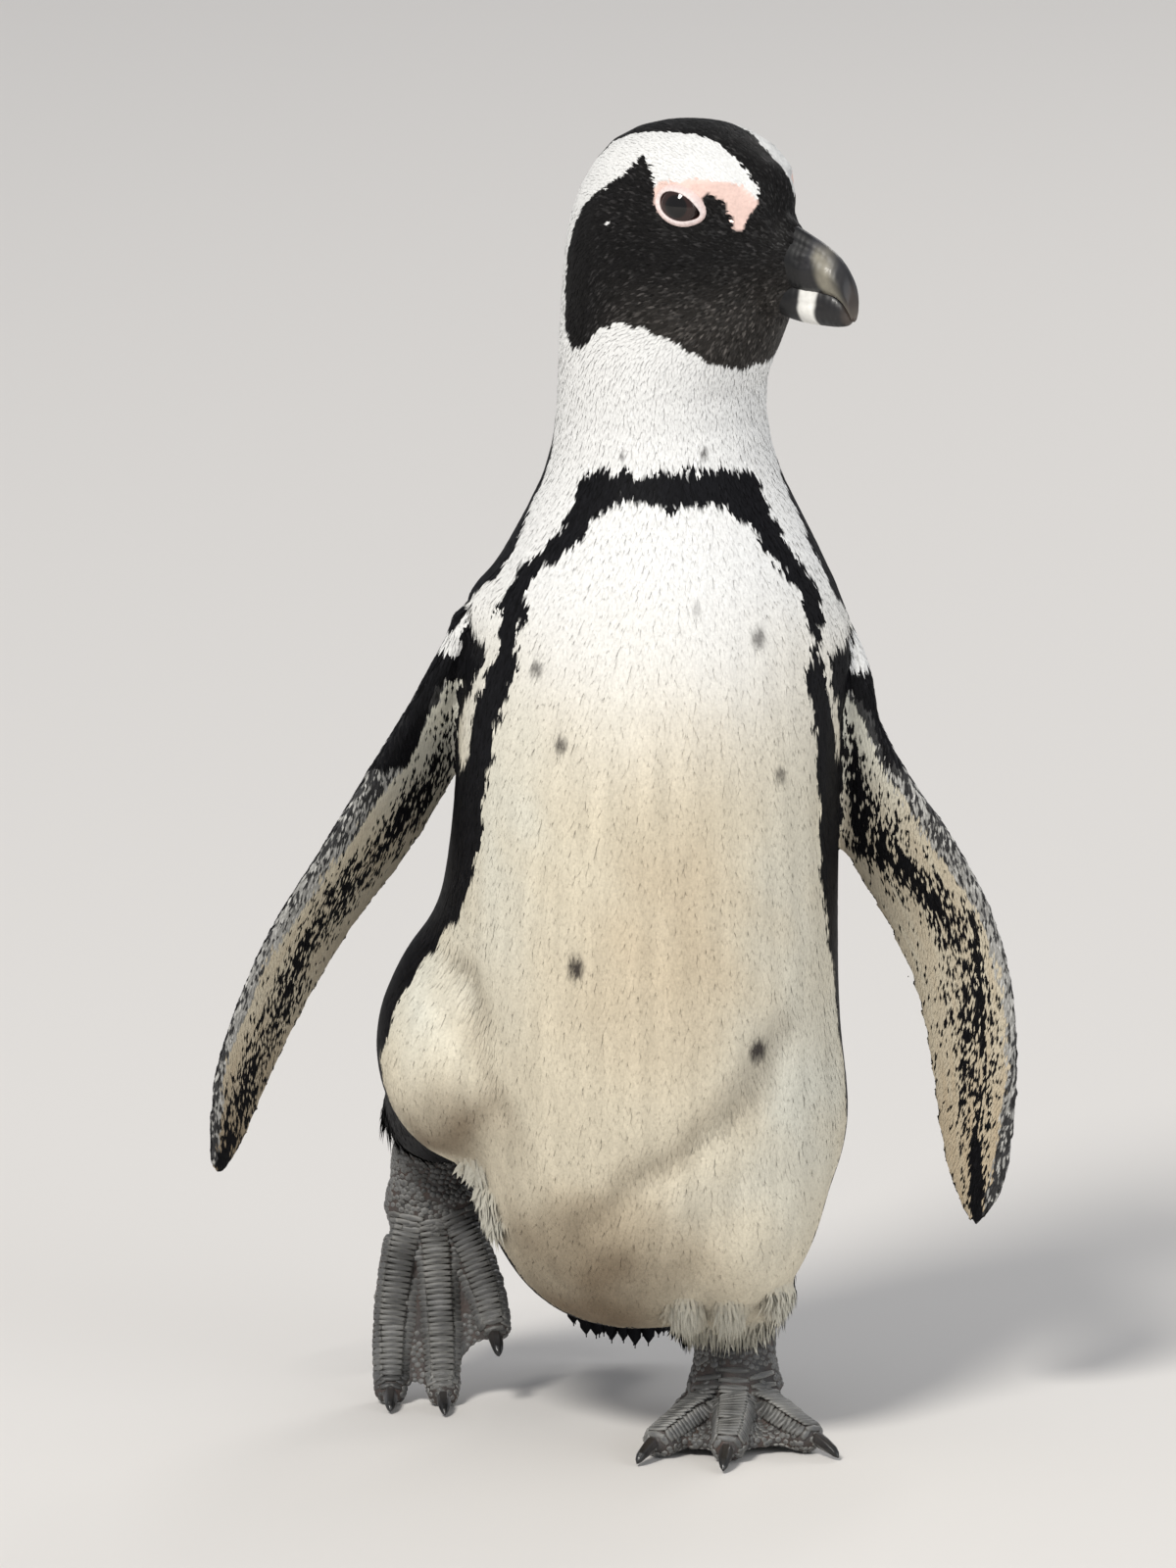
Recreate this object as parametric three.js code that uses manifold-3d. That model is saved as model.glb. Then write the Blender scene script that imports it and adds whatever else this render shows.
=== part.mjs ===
// African penguin, life size, in mid step. It walks towards -Y with its head turned to its left, which is +X.
// Its left foot is flat on the ground, its right foot stands behind on the toe tips, and the flippers hang out to the sides.
// Millimetres, +Z up. Shapes are written in the bird's own frame, and the last lines move the origin to the
// centre of the model's footprint on the ground.
import * as THREE from "three";
import { mergeVertices } from "three/addons/utils/BufferGeometryUtils.js";
import Module from "manifold-3d";

const wasm = await Module();
wasm.setup();

// ---- driving dimensions ----
const gap = 0.35; // between two parts that meet
const tidyWithin = 0.12; // small facets are joined while no point moves more than this
const headTurn = 50; // degrees that the head is turned to the bird's left
const headAxis = { x: 20.2, y: 5 }; // where the head turns, seen from above
const eyeBall = { radius: 9.5, ahead: 21, aside: 27.4, height: 519.5 };
const neckCut = 402; // height of the cut between trunk and neck
const throatCut = { height: 447, rise: 0.22 }; // cut between neck and head, higher towards the nape
const footprint = { thick: 5, toeSides: 8, reach: 0.9 };

// Level slices through trunk, neck and head: height, centre, half width, reach ahead and behind, turn to the left.
const bodySlices = [
  { z: 38, x: -2, y: 28, wide: 0, front: 0, back: 0, turn: 0 },
  { z: 40, x: -1, y: 27, wide: 18, front: 18, back: 22, turn: 0 },
  { z: 47, x: 1, y: 25, wide: 35, front: 37, back: 42, turn: 0 },
  { z: 60, x: 3, y: 22, wide: 50, front: 54, back: 60, turn: 0 },
  { z: 80, x: 4, y: 19, wide: 63, front: 68, back: 72, turn: 0 },
  { z: 105, x: 4, y: 15, wide: 72, front: 77, back: 80, turn: 0 },
  { z: 135, x: 3.5, y: 11, wide: 77.5, front: 83, back: 84, turn: 0 },
  { z: 175, x: 3, y: 7, wide: 79.5, front: 86, back: 84, turn: 0 },
  { z: 220, x: 3, y: 4, wide: 79.5, front: 85, back: 82, turn: 0 },
  { z: 265, x: 4, y: 1.5, wide: 79, front: 81, back: 79, turn: 0 },
  { z: 305, x: 5.5, y: 1, wide: 77, front: 76, back: 75, turn: 0 },
  { z: 335, x: 8, y: 2, wide: 74, front: 69, back: 70, turn: 0 },
  { z: 360, x: 9.5, y: 3.5, wide: 68, front: 61, back: 64, turn: 0 },
  { z: 380, x: 10.5, y: 5, wide: 59, front: 54, back: 58, turn: 4 },
  { z: 397, x: 10.5, y: 7, wide: 50.5, front: 48, back: 52, turn: 10 },
  { z: 411, x: 10.5, y: 8, wide: 45.5, front: 43.5, back: 48, turn: 20 },
  { z: 425, x: 10.5, y: 8.5, wide: 43, front: 41, back: 46, turn: 32 },
  { z: 440, x: 11.5, y: 8, wide: 42.5, front: 40.5, back: 46, turn: 44 },
  { z: 452, x: 13.5, y: 7.5, wide: 42.5, front: 42.5, back: 49, turn: headTurn },
  { z: 463, x: 15.5, y: 7, wide: 42, front: 45, back: 52, turn: headTurn },
  { z: 476, x: 17.5, y: 6.3, wide: 41.5, front: 46, back: 54, turn: headTurn },
  { z: 490, x: 19, y: 5.5, wide: 41, front: 46, back: 55, turn: headTurn },
  { z: 503, x: 20.5, y: 5, wide: 40, front: 47, back: 54, turn: headTurn },
  { z: 516, x: 22, y: 4, wide: 38.5, front: 47, back: 51.5, turn: headTurn },
  { z: 526, x: 23, y: 3.3, wide: 35.5, front: 43.5, back: 46.5, turn: headTurn },
  { z: 535, x: 23.5, y: 3, wide: 31, front: 37.5, back: 40.5, turn: headTurn },
  { z: 542, x: 24, y: 2.5, wide: 23.5, front: 28.5, back: 31, turn: headTurn },
  { z: 546.5, x: 24, y: 2.5, wide: 14, front: 17, back: 18, turn: headTurn },
  { z: 548.5, x: 24, y: 2.5, wide: 0, front: 0, back: 0, turn: headTurn },
];

// Soft swellings on the slices: where they are highest, how far they stand out and how far they spread.
// The angle is in degrees from straight ahead, positive to the bird's left.
const swellings = [
  { name: "bill base", z: 498, angle: 0, out: 15, high: 13, across: 21 },
  { name: "chin", z: 466, angle: 8, out: 4, high: 12, across: 34 },
  { name: "left brow", z: 530, angle: 48, out: 2.2, high: 7, across: 26 },
  { name: "right brow", z: 530, angle: -48, out: 2.2, high: 7, across: 26 },
  { name: "left eye hollow", z: 519, angle: 51, out: -2.2, high: 9, across: 17 },
  { name: "right eye hollow", z: 519, angle: -51, out: -2.2, high: 9, across: 17 },
  { name: "left shoulder", z: 338, angle: 96, out: 4, high: 26, across: 30 },
  { name: "right shoulder", z: 338, angle: -96, out: 4, high: 26, across: 30 },
  { name: "keel", z: 320, angle: 0, out: 4, high: 60, across: 30 },
  { name: "right flank", z: 212, angle: -98, out: 5.5, high: 30, across: 30 },
  { name: "left lore", z: 506, angle: 27, out: -3, high: 11, across: 12 },
  { name: "right lore", z: 506, angle: -27, out: -3, high: 11, across: 12 },
  { name: "nape", z: 470, angle: 180, out: -2, high: 26, across: 40 },
  { name: "rump", z: 120, angle: 180, out: 9, high: 42, across: 40 },
];

// Feathered thighs: a rounded upper part, and the cuff of feathers from which the bare leg comes.
const thighs = {
  left: { centre: [38, 0, 104], half: [37, 56, 54], cuff: [37, 8, 45], sleeve: [30, 27, 23] },
  right: { centre: [-65, 10, 163], half: [43, 58, 51], cuff: [-86, 70, 112], sleeve: [36, 28, 19.5] },
};

// Flippers, from inside the shoulder to the tip: place, chord, thickness, and how far the leading edge turns forward.
const flippers = {
  left: [
    { at: [60, 6, 352], chord: 30, thick: 20, ahead: 20 },
    { at: [70, 7, 329], chord: 42, thick: 16, ahead: 20 },
    { at: [77, 8, 300], chord: 46, thick: 12, ahead: 22 },
    { at: [91, 10, 270], chord: 50, thick: 9.6, ahead: 24 },
    { at: [109.5, 13, 241], chord: 53, thick: 8.4, ahead: 24 },
    { at: [125, 18, 212], chord: 51, thick: 7.6, ahead: 24 },
    { at: [134.5, 22, 182], chord: 46, thick: 6.8, ahead: 24 },
    { at: [138.5, 27, 148], chord: 41, thick: 5.8, ahead: 25 },
    { at: [139.5, 32, 114], chord: 34, thick: 4.8, ahead: 27 },
    { at: [139.5, 36, 90], chord: 19, thick: 3.8, ahead: 30 },
    { at: [138.5, 38, 78], chord: 0, thick: 0, ahead: 30 },
  ],
  right: [
    { at: [-50, 4, 354], chord: 30, thick: 20, ahead: 36 },
    { at: [-62, 5, 332], chord: 42, thick: 16, ahead: 38 },
    { at: [-74, 6, 308], chord: 46, thick: 12, ahead: 40 },
    { at: [-91, 8, 278], chord: 51, thick: 9.6, ahead: 40 },
    { at: [-110, 11, 245], chord: 54, thick: 8.4, ahead: 41 },
    { at: [-132, 16, 212], chord: 51, thick: 7.6, ahead: 43 },
    { at: [-149, 22, 178], chord: 44.5, thick: 6.6, ahead: 44 },
    { at: [-161, 27, 147], chord: 37, thick: 5.6, ahead: 45 },
    { at: [-167, 32, 122], chord: 25, thick: 4.6, ahead: 46 },
    { at: [-170.5, 35, 107], chord: 14, thick: 3.6, ahead: 47 },
    { at: [-171.5, 36, 100], chord: 0, thick: 0, ahead: 47 },
  ],
};

// Tail of stiff feathers, from inside the rump to the tip.
const tailSteps = [
  { at: [1, 76, 118], chord: 46, thick: 26 },
  { at: [1, 96, 88], chord: 50, thick: 20 },
  { at: [1, 112, 58], chord: 42, thick: 11 },
  { at: [1, 122, 34], chord: 27, thick: 5 },
  { at: [1, 127, 20], chord: 0, thick: 0 },
];

// Bill in side view: distance ahead of the head's axis, top, bottom and half width.
const billUpper = [
  { ahead: 42, top: 514, bottom: 494, wide: 0 },
  { ahead: 44, top: 514, bottom: 493.5, wide: 8.6 },
  { ahead: 56, top: 513, bottom: 491, wide: 8.8 },
  { ahead: 65, top: 509.5, bottom: 489, wide: 8.2 },
  { ahead: 74, top: 504.5, bottom: 488, wide: 7.2 },
  { ahead: 82, top: 499, bottom: 486.5, wide: 6.2 },
  { ahead: 87, top: 493.5, bottom: 482, wide: 4.9 },
  { ahead: 89.6, top: 487, bottom: 478, wide: 3.1 },
  { ahead: 89.8, top: 480, bottom: 477, wide: 0 },
];
const billLower = [
  { ahead: 42, top: 500, bottom: 478, wide: 0 },
  { ahead: 44, top: 501, bottom: 476.5, wide: 8 },
  { ahead: 56, top: 498, bottom: 475, wide: 8.2 },
  { ahead: 65, top: 496, bottom: 474, wide: 7.6 },
  { ahead: 74, top: 493, bottom: 473.6, wide: 6.6 },
  { ahead: 81, top: 489, bottom: 474.2, wide: 5.4 },
  { ahead: 85, top: 484, bottom: 475.4, wide: 3.6 },
  { ahead: 86.4, top: 480, bottom: 477.5, wide: 0 },
];

// Feet: the bare leg from the cuff to the foot, and the toes from the foot to their tips, with radii.
const feet = {
  left: {
    leg: [
      { at: [38, 12, 74], radius: 0, deep: 0.8 },
      { at: [38, 12, 72], radius: 11, deep: 0.8 },
      { at: [40, 12, 52], radius: 16, deep: 0.8 },
      { at: [40.5, 12, 44], radius: 17, deep: 0.8 },
      { at: [40.5, 11, 34], radius: 17, deep: 0.85 },
      { at: [40.5, 9, 22], radius: 18.5, deep: 0.95 },
      { at: [40.5, 7, 14], radius: 16, deep: 1 },
      { at: [40.5, 7, 12], radius: 0, deep: 1 },
    ],
    heel: { centre: [40, 8, 10], half: [22, 20, 13] },
    toes: {
      inner: [[33, 2, 12], [23, -15, 10.5], [13, -32, 7.6], [5.5, -45, 5.6]],
      middle: [[40, 0, 14], [39.5, -20, 11.5], [38, -40, 7.8], [36.5, -54, 5.6]],
      outer: [[47, 2, 12], [57, -13, 10.5], [66, -26, 7.6], [75, -36, 5.6]],
    },
    radii: [10.5, 9.6, 8.4, 7],
    hallux: [[26, 14, 13], [20, 8, 10], [16, 1, 6]],
    sole: [0, 0, 1],
  },
  right: {
    leg: [
      { at: [-84, 60, 132], radius: 0, deep: 0.9 },
      { at: [-84, 61, 130], radius: 9, deep: 0.9 },
      { at: [-86, 71, 114], radius: 13, deep: 0.9 },
      { at: [-86, 78, 101], radius: 15.5, deep: 0.85 },
      { at: [-85, 82, 88], radius: 17, deep: 0.75 },
      { at: [-84, 82, 78], radius: 14, deep: 0.7 },
      { at: [-84, 82, 76], radius: 0, deep: 0.7 },
    ],
    heel: { centre: [-84, 82, 78], half: [21, 12.5, 20] },
    toes: {
      outer: [[-93, 80, 76], [-98, 74, 54], [-101, 68, 31], [-101.5, 59, 7], [-101.5, 47, 4.4]],
      middle: [[-84, 79, 74], [-82, 72, 52], [-80.5, 66, 29], [-80, 56, 7], [-79.5, 43, 4.4]],
      inner: [[-76, 80, 77], [-68, 75, 60], [-62, 70, 44], [-59, 64, 32], [-58, 56, 27]],
    },
    radii: [9.6, 9, 8.4, 7.8, 6.6],
    hallux: [[-70, 88, 86], [-63, 87, 78], [-59, 84, 68]],
    sole: [0, 1, 0.35],
  },
};
const clawLength = { inner: 10, middle: 12, outer: 10, hallux: 7 };

// ---- helpers ----
const radians = THREE.MathUtils.degToRad;
const vector = (list) => new THREE.Vector3(...list);

// Values of a table at any place along it. A table is a list of rows of numbers, and spots says where each row lies.
function smoothTable(rows, spots) {
  const values = new Float32Array(rows.flat());
  const curve = new THREE.CubicInterpolant(spots, values, rows[0].length);
  return (spot) => Array.from(curve.evaluate(THREE.MathUtils.clamp(spot, spots[0], spots.at(-1))));
}

// Distances along a list of points.
function distances(points) {
  const spots = [0];
  points.slice(1).forEach((p, i) => spots.push(spots[i] + p.distanceTo(points[i])));
  return spots;
}

// A sphere's net pulled over a shape: place(height, angle) takes 0 at one pole to 1 at the other, and radians.
function wrap(rows, sides, place) {
  const geometry = new THREE.SphereGeometry(1, sides, rows);
  const { position, uv } = geometry.attributes;
  for (let i = 0; i < position.count; i++) {
    const p = place(uv.getY(i), 2 * Math.PI * uv.getX(i));
    position.setXYZ(i, p.x, p.y, p.z);
  }
  return geometry;
}

// A geometry as a manifold-3d solid, facing outwards.
function solid(geometry) {
  const bare = new THREE.BufferGeometry().setAttribute("position", geometry.attributes.position);
  bare.setIndex(geometry.index);
  const merged = mergeVertices(bare, 1e-3);
  const corners = new Uint32Array(merged.index.array);
  const build = () => {
    const mesh = new wasm.Mesh({
      numProp: 3,
      vertProperties: new Float32Array(merged.attributes.position.array),
      triVerts: corners,
    });
    mesh.merge();
    return new wasm.Manifold(mesh);
  };
  const made = build();
  if (made.volume() > 0) return made;
  for (let i = 0; i < corners.length; i += 3) [corners[i + 1], corners[i + 2]] = [corners[i + 2], corners[i + 1]];
  return build();
}

// The largest piece of a solid, so that a cut leaves no loose slivers.
const largest = (made) => made.decompose().reduce((a, b) => (b.volume() > a.volume() ? b : a));

const group = new THREE.Group();

// Adds a solid to the group as a named mesh.
function add(name, made, material) {
  const mesh = largest(made).simplify(tidyWithin).getMesh();
  const points = new Float32Array(mesh.numVert * 3);
  for (let i = 0; i < mesh.numVert; i++) {
    points.set(mesh.vertProperties.subarray(i * mesh.numProp, i * mesh.numProp + 3), i * 3);
  }
  const geometry = new THREE.BufferGeometry();
  geometry.setAttribute("position", new THREE.BufferAttribute(points, 3));
  geometry.setIndex(new THREE.BufferAttribute(mesh.triVerts, 1));
  geometry.computeVertexNormals();
  const part = new THREE.Mesh(geometry, material);
  part.name = name;
  group.add(part);
}

const finish = (color, roughness) => new THREE.MeshStandardMaterial({ color, roughness, metalness: 0 });
const materials = {
  white: finish(0xe6e1d2, 0.8),
  black: finish(0x1d1c1e, 0.7),
  horn: finish(0x2b2a2b, 0.35),
  eye: finish(0x24120c, 0.08),
  scale: finish(0x3c3d3c, 0.6),
  claw: finish(0x1b1a19, 0.4),
};

// ---- trunk, neck and head ----
const sliceSpots = distances(bodySlices.map((s) => new THREE.Vector3(s.z, s.wide, 0)));
const sliceAt = smoothTable(
  bodySlices.map((s) => [s.z, s.x, s.y, s.wide, s.front, s.back, s.turn]),
  sliceSpots,
);

// A point of the body's surface, grown outwards by grow.
function bodyPoint(height, angle, grow) {
  const spot = (1 - (1 - height) ** 1.3) * sliceSpots.at(-1); // rows lie closer on the head
  const [z, x, y, wide, front, back, turn] = sliceAt(spot);
  const ahead = Math.cos(angle);
  const aside = Math.sin(angle);
  let along = Math.max(ahead > 0 ? front : back, 0) * ahead;
  let across = Math.max(wide, 0) * aside;
  const size = Math.hypot(along, across);
  if (size > 0) {
    const turned = THREE.MathUtils.radToDeg(angle);
    let out = grow;
    for (const s of swellings) {
      const off = THREE.MathUtils.euclideanModulo(turned - s.angle + 180, 360) - 180;
      out += s.out * Math.exp(-(((z - s.z) / s.high) ** 2) - (off / s.across) ** 2);
    }
    along *= 1 + out / size;
    across *= 1 + out / size;
  }
  const t = radians(turn);
  const lift = height <= 0 ? -grow : height >= 1 ? grow : 0;
  return new THREE.Vector3(
    x + along * Math.sin(t) + across * Math.cos(t),
    y - along * Math.cos(t) + across * Math.sin(t),
    z + lift,
  );
}
const body = (grow) => solid(wrap(38, 32, (height, angle) => bodyPoint(height, angle, grow)));

// A point of the head's own frame: ahead along the bill, aside to the bird's left, and its height.
function headPoint(ahead, aside, height) {
  const t = radians(headTurn);
  return new THREE.Vector3(
    headAxis.x + ahead * Math.sin(t) + aside * Math.cos(t),
    headAxis.y - ahead * Math.cos(t) + aside * Math.sin(t),
    height,
  );
}

function eye(side, grow) {
  const { radius, ahead, aside, height } = eyeBall;
  const ball = new THREE.SphereGeometry(radius + grow, 12, 8);
  const centre = headPoint(ahead, side * aside, height);
  return solid(ball.translate(centre.x, centre.y, centre.z));
}

// Turns a circle's sine or cosine into that of a rounded square.
const boxy = (value) => Math.sign(value) * Math.abs(value) ** 0.72;

// A half of the bill: rounded on top, and a little narrower there than below.
function mandible(steps, grow) {
  const spots = distances(steps.map((s) => new THREE.Vector3(s.ahead, (s.top + s.bottom) / 2, s.wide)));
  const at = smoothTable(steps.map((s) => [s.ahead, s.top, s.bottom, s.wide]), spots);
  return solid(
    wrap(12, 10, (height, angle) => {
      const [ahead, top, bottom, wide] = at(height * spots.at(-1));
      const closed = height <= 0 || height >= 1;
      const up = closed ? 0 : boxy(Math.sin(angle));
      const narrow = 1 - 0.35 * Math.max(up, 0);
      const aside = closed ? 0 : (Math.max(wide, 0) + grow) * boxy(Math.cos(angle)) * narrow;
      const ends = height <= 0 ? -grow : height >= 1 ? grow : 0;
      return headPoint(ahead + ends, aside, (top + bottom) / 2 + up * ((top - bottom) / 2 + grow));
    }),
  );
}

// ---- limbs ----
// A blade along its steps, thick at the leading edge and thin behind, as a flipper or the tail's fan is.
function blade(steps, leadOf, rows, sides, grow) {
  const spots = distances(steps.map((s) => vector(s.at)));
  const at = smoothTable(steps.map((s) => [...s.at, s.chord, s.thick, s.ahead ?? 0]), spots);
  const placeAt = (spot) => vector(at(spot).slice(0, 3));
  return solid(
    wrap(rows, sides, (height, angle) => {
      const share = 1 - (1 - height) ** 1.25; // rows lie closer at the tip
      const spot = share * spots.at(-1);
      const [x, y, z, chord, thick, ahead] = at(spot);
      const tangent = placeAt(spot + 12).sub(placeAt(spot - 12)).normalize();
      const lead = leadOf(ahead).projectOnPlane(tangent).normalize();
      const face = tangent.clone().cross(lead).normalize();
      const forward = Math.cos(angle);
      const closed = height <= 0 || height >= 1;
      const half = closed ? 0 : Math.max(chord, 0) / 2 + grow;
      const depth = closed ? 0 : (Math.max(thick, 0) / 2) * (0.66 + 0.34 * forward) + grow;
      return new THREE.Vector3(x, y, z)
        .addScaledVector(lead, half * forward)
        .addScaledVector(face, depth * Math.sin(angle));
    }),
  );
}

// The leading edge points out to the side, and turns forward by an angle.
const outward = (side) => (ahead) =>
  new THREE.Vector3(side * Math.cos(radians(ahead)), -Math.sin(radians(ahead)), 0);
const flipper = (name, side, grow) => blade(flippers[name], outward(side), 18, 12, grow);
const tail = () => blade(tailSteps, () => new THREE.Vector3(1, 0, 0), 9, 12, 0);

// A round limb along points, with a radius at each and closed ends.
function limb(points, radii, rows, sides, grow, deep = 1) {
  const path = new THREE.CatmullRomCurve3(points);
  const spots = radii.map((_, i) => i / (radii.length - 1));
  const radiusAt = smoothTable(radii.map((r) => [r]), spots);
  const sideways = new THREE.Vector3(1, 0, 0);
  return solid(
    wrap(rows, sides, (height, angle) => {
      const centre = path.getPoint(height);
      const tangent = path.getTangent(THREE.MathUtils.clamp(height, 0.01, 0.99));
      const across = sideways.clone().projectOnPlane(tangent).normalize();
      const deeper = tangent.clone().cross(across).normalize();
      const end = Math.min(height, 1 - height) * 7;
      const radius = (radiusAt(height)[0] + grow) * Math.sqrt(THREE.MathUtils.clamp(end * (2 - end), 0, 1) || 0);
      const size = end >= 1 ? radiusAt(height)[0] + grow : radius;
      return centre
        .addScaledVector(across, size * Math.cos(angle))
        .addScaledVector(deeper, size * deep * Math.sin(angle));
    }),
  );
}

// The bare leg between the cuff and the foot.
function bareLeg(steps, grow) {
  const points = steps.map((s) => vector(s.at));
  const spots = distances(points);
  const at = smoothTable(steps.map((s) => [...s.at, s.radius, s.deep]), spots);
  return solid(
    wrap(9, 14, (height, angle) => {
      const [x, y, z, radius, deep] = at(height * spots.at(-1));
      const size = height <= 0 || height >= 1 ? 0 : Math.max(radius, 0) + grow;
      return new THREE.Vector3(x + size * Math.cos(angle), y + size * deep * Math.sin(angle), z);
    }),
  );
}

function ellipsoid(centre, half, columns, rows, grow) {
  const ball = new THREE.SphereGeometry(1, columns, rows);
  ball.scale(...half.map((h) => h + grow));
  return solid(ball.translate(...centre));
}

// The feathered thigh: its round upper part and the cuff, joined by a tapering sleeve.
function thigh({ centre, half, cuff, sleeve: radii }, grow) {
  const top = vector(centre).lerp(vector(cuff), 0.15);
  const sleeve = limb([top, vector(centre).lerp(vector(cuff), 0.6), vector(cuff)], radii, 7, 14, grow);
  return ellipsoid(centre, half, 18, 11, grow).add(sleeve);
}

// ---- feet ----
const footFloor = (made) => made.trimByPlane([0, 0, 1], 0); // flats at ground level

// A toe, with a knuckle at each step.
function toe(points, radii, grow) {
  return limb(points.map(vector), radii, 7, footprint.toeSides, grow, 0.92);
}

// The web between two toes: a thin sheet that ends in a hollow edge short of the toe tips.
function web(pointsA, pointsB, sole) {
  const a = new THREE.CatmullRomCurve3(pointsA.map(vector));
  const b = new THREE.CatmullRomCurve3(pointsB.map(vector));
  const net = new THREE.BoxGeometry(1, 1, 1, 3, 6, 1);
  const { position } = net.attributes;
  const through = vector(sole).normalize();
  for (let i = 0; i < position.count; i++) {
    const across = position.getX(i) + 0.5;
    const end = footprint.reach - 0.22 * 4 * across * (1 - across);
    const along = 0.1 + (position.getY(i) + 0.5) * (end - 0.1);
    const p = a.getPoint(along).lerp(b.getPoint(along), across);
    p.addScaledVector(through, position.getZ(i) * footprint.thick - 2.2);
    position.setXYZ(i, p.x, p.y, p.z);
  }
  return solid(net);
}

// A claw: a curved cone that starts inside the toe's end and droops to its tip.
function claw(points, length, radius, grow) {
  const [before, end] = points.slice(-2).map(vector);
  const ahead = end.clone().sub(before).normalize();
  const level = ahead.clone().setZ(Math.max(ahead.z, -0.55)).normalize();
  const root = end.clone().addScaledVector(level, 1.5);
  const tip = root.clone().addScaledVector(level, length).setZ(Math.max(root.z - 4.2, 1.1));
  const middle = root.clone().lerp(tip, 0.5).add(new THREE.Vector3(0, 0, 1.1));
  return limb([root, middle, tip], [radius, radius * 0.72, radius * 0.22], 5, 6, grow);
}

const clawSeat = (name) => (name === "hallux" ? 2.4 : 3.3); // radius of a claw at its root

function foot(name, grow) {
  const { heel, toes, radii, hallux, sole } = feet[name];
  let made = ellipsoid(heel.centre, heel.half, 12, 8, grow);
  for (const points of Object.values(toes)) made = made.add(toe(points, radii, grow));
  made = made.add(web(toes.inner, toes.middle, sole)).add(web(toes.middle, toes.outer, sole));
  made = made.add(limb(hallux.map(vector), [6, 5.2, 4.2], 5, 8, grow));
  return footFloor(made);
}

// ---- assembly ----
const bodyGrown = body(gap);
let wholeBody = body(0);
for (const name of ["left", "right"]) {
  wholeBody = wholeBody.subtract(thigh(thighs[name], gap)).subtract(bareLeg(feet[name].leg, gap));
}
const slope = [0, -throatCut.rise, 1];
const slopeLength = Math.hypot(...slope);
const throatPlane = slope.map((s) => s / slopeLength);
const throatOffset = (throatCut.height - throatCut.rise * headAxis.y) / slopeLength;
const below = (made, plane, offset) => made.trimByPlane(plane.map((s) => -s), -offset);

add("trunk", below(wholeBody, [0, 0, 1], neckCut - gap), materials.white);
const aboveTrunk = wholeBody.trimByPlane([0, 0, 1], neckCut);
add("neck", below(aboveTrunk, throatPlane, throatOffset - gap), materials.white);
const head = aboveTrunk.trimByPlane(throatPlane, throatOffset);
add("head", head.subtract(eye(1, gap)).subtract(eye(-1, gap)), materials.black);
add("eye_left", eye(1, 0), materials.eye);
add("eye_right", eye(-1, 0), materials.eye);
add("bill_upper", mandible(billUpper, 0).subtract(bodyGrown), materials.horn);
add("bill_lower", mandible(billLower, 0).subtract(mandible(billUpper, gap)).subtract(bodyGrown), materials.horn);

for (const [name, side] of [["left", 1], ["right", -1]]) {
  const upperLeg = thigh(thighs[name], 0);
  const upperGrown = thigh(thighs[name], gap);
  add(`flipper_${name}`, flipper(name, side, 0).subtract(bodyGrown).subtract(upperGrown), materials.black);
  const bare = bareLeg(feet[name].leg, 0);
  const bareGrown = bareLeg(feet[name].leg, gap);
  add(`leg_${name}`, upperLeg.subtract(bareGrown), materials.white);
  add(`tarsus_${name}`, bare, materials.scale);
  let sole = foot(name, 0).subtract(bareGrown);
  const digits = { ...feet[name].toes, hallux: feet[name].hallux };
  for (const [digit, points] of Object.entries(digits)) {
    sole = sole.subtract(claw(points, clawLength[digit], clawSeat(digit), gap));
    add(`claw_${name}_${digit}`, footFloor(claw(points, clawLength[digit], clawSeat(digit), 0)), materials.claw);
  }
  add(`foot_${name}`, sole, materials.scale);
}
add("tail", tail().subtract(bodyGrown), materials.black);

// The origin is the centre of the footprint, at ground level.
const box = new THREE.Box3().setFromObject(group);
const middle = box.getCenter(new THREE.Vector3());
group.position.set(-middle.x, -middle.y, -box.min.z);

export default group;
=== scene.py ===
import math

import bpy
import bmesh
import numpy as np
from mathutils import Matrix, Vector
from mathutils.bvhtree import BVHTree
from mathutils.kdtree import KDTree


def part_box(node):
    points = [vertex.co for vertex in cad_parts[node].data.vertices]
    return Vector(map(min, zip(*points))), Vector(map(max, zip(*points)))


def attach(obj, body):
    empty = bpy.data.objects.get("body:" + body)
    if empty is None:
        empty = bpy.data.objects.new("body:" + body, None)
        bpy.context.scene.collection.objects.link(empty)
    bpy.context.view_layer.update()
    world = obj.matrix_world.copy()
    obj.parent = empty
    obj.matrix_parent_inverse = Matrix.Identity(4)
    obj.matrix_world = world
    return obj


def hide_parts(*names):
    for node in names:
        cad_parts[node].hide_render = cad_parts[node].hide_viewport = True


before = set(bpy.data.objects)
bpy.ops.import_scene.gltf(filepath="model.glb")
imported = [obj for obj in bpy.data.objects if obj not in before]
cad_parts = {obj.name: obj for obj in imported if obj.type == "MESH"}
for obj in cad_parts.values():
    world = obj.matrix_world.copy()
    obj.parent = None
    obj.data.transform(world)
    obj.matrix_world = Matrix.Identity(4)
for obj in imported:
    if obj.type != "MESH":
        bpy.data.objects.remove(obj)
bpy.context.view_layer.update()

bpy.ops.object.select_all(action="DESELECT")

# The bird's own frame.
# Places on the bird are in millimetres, z up, the breast facing -y and the bird's left at +x.
# The two eyes give the frame: the head is turned to the bird's left, and it looks along lookDir.
mm = 0.001
headShape = {
    "turn": 50.0,  # degrees to the bird's left
    "axis": (20.2, 5.0),  # where the neck turns, seen from above
    "eye": (21.0, 27.4, 519.5),  # ahead of the axis, aside and up, to the middle of the eyeball
}
turn = math.radians(headShape["turn"])
lookDir = np.array([math.sin(turn), -math.cos(turn), 0.0])
leftDir = np.array([math.cos(turn), math.sin(turn), 0.0])
headAxis = np.array([*headShape["axis"], 0.0])


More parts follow.
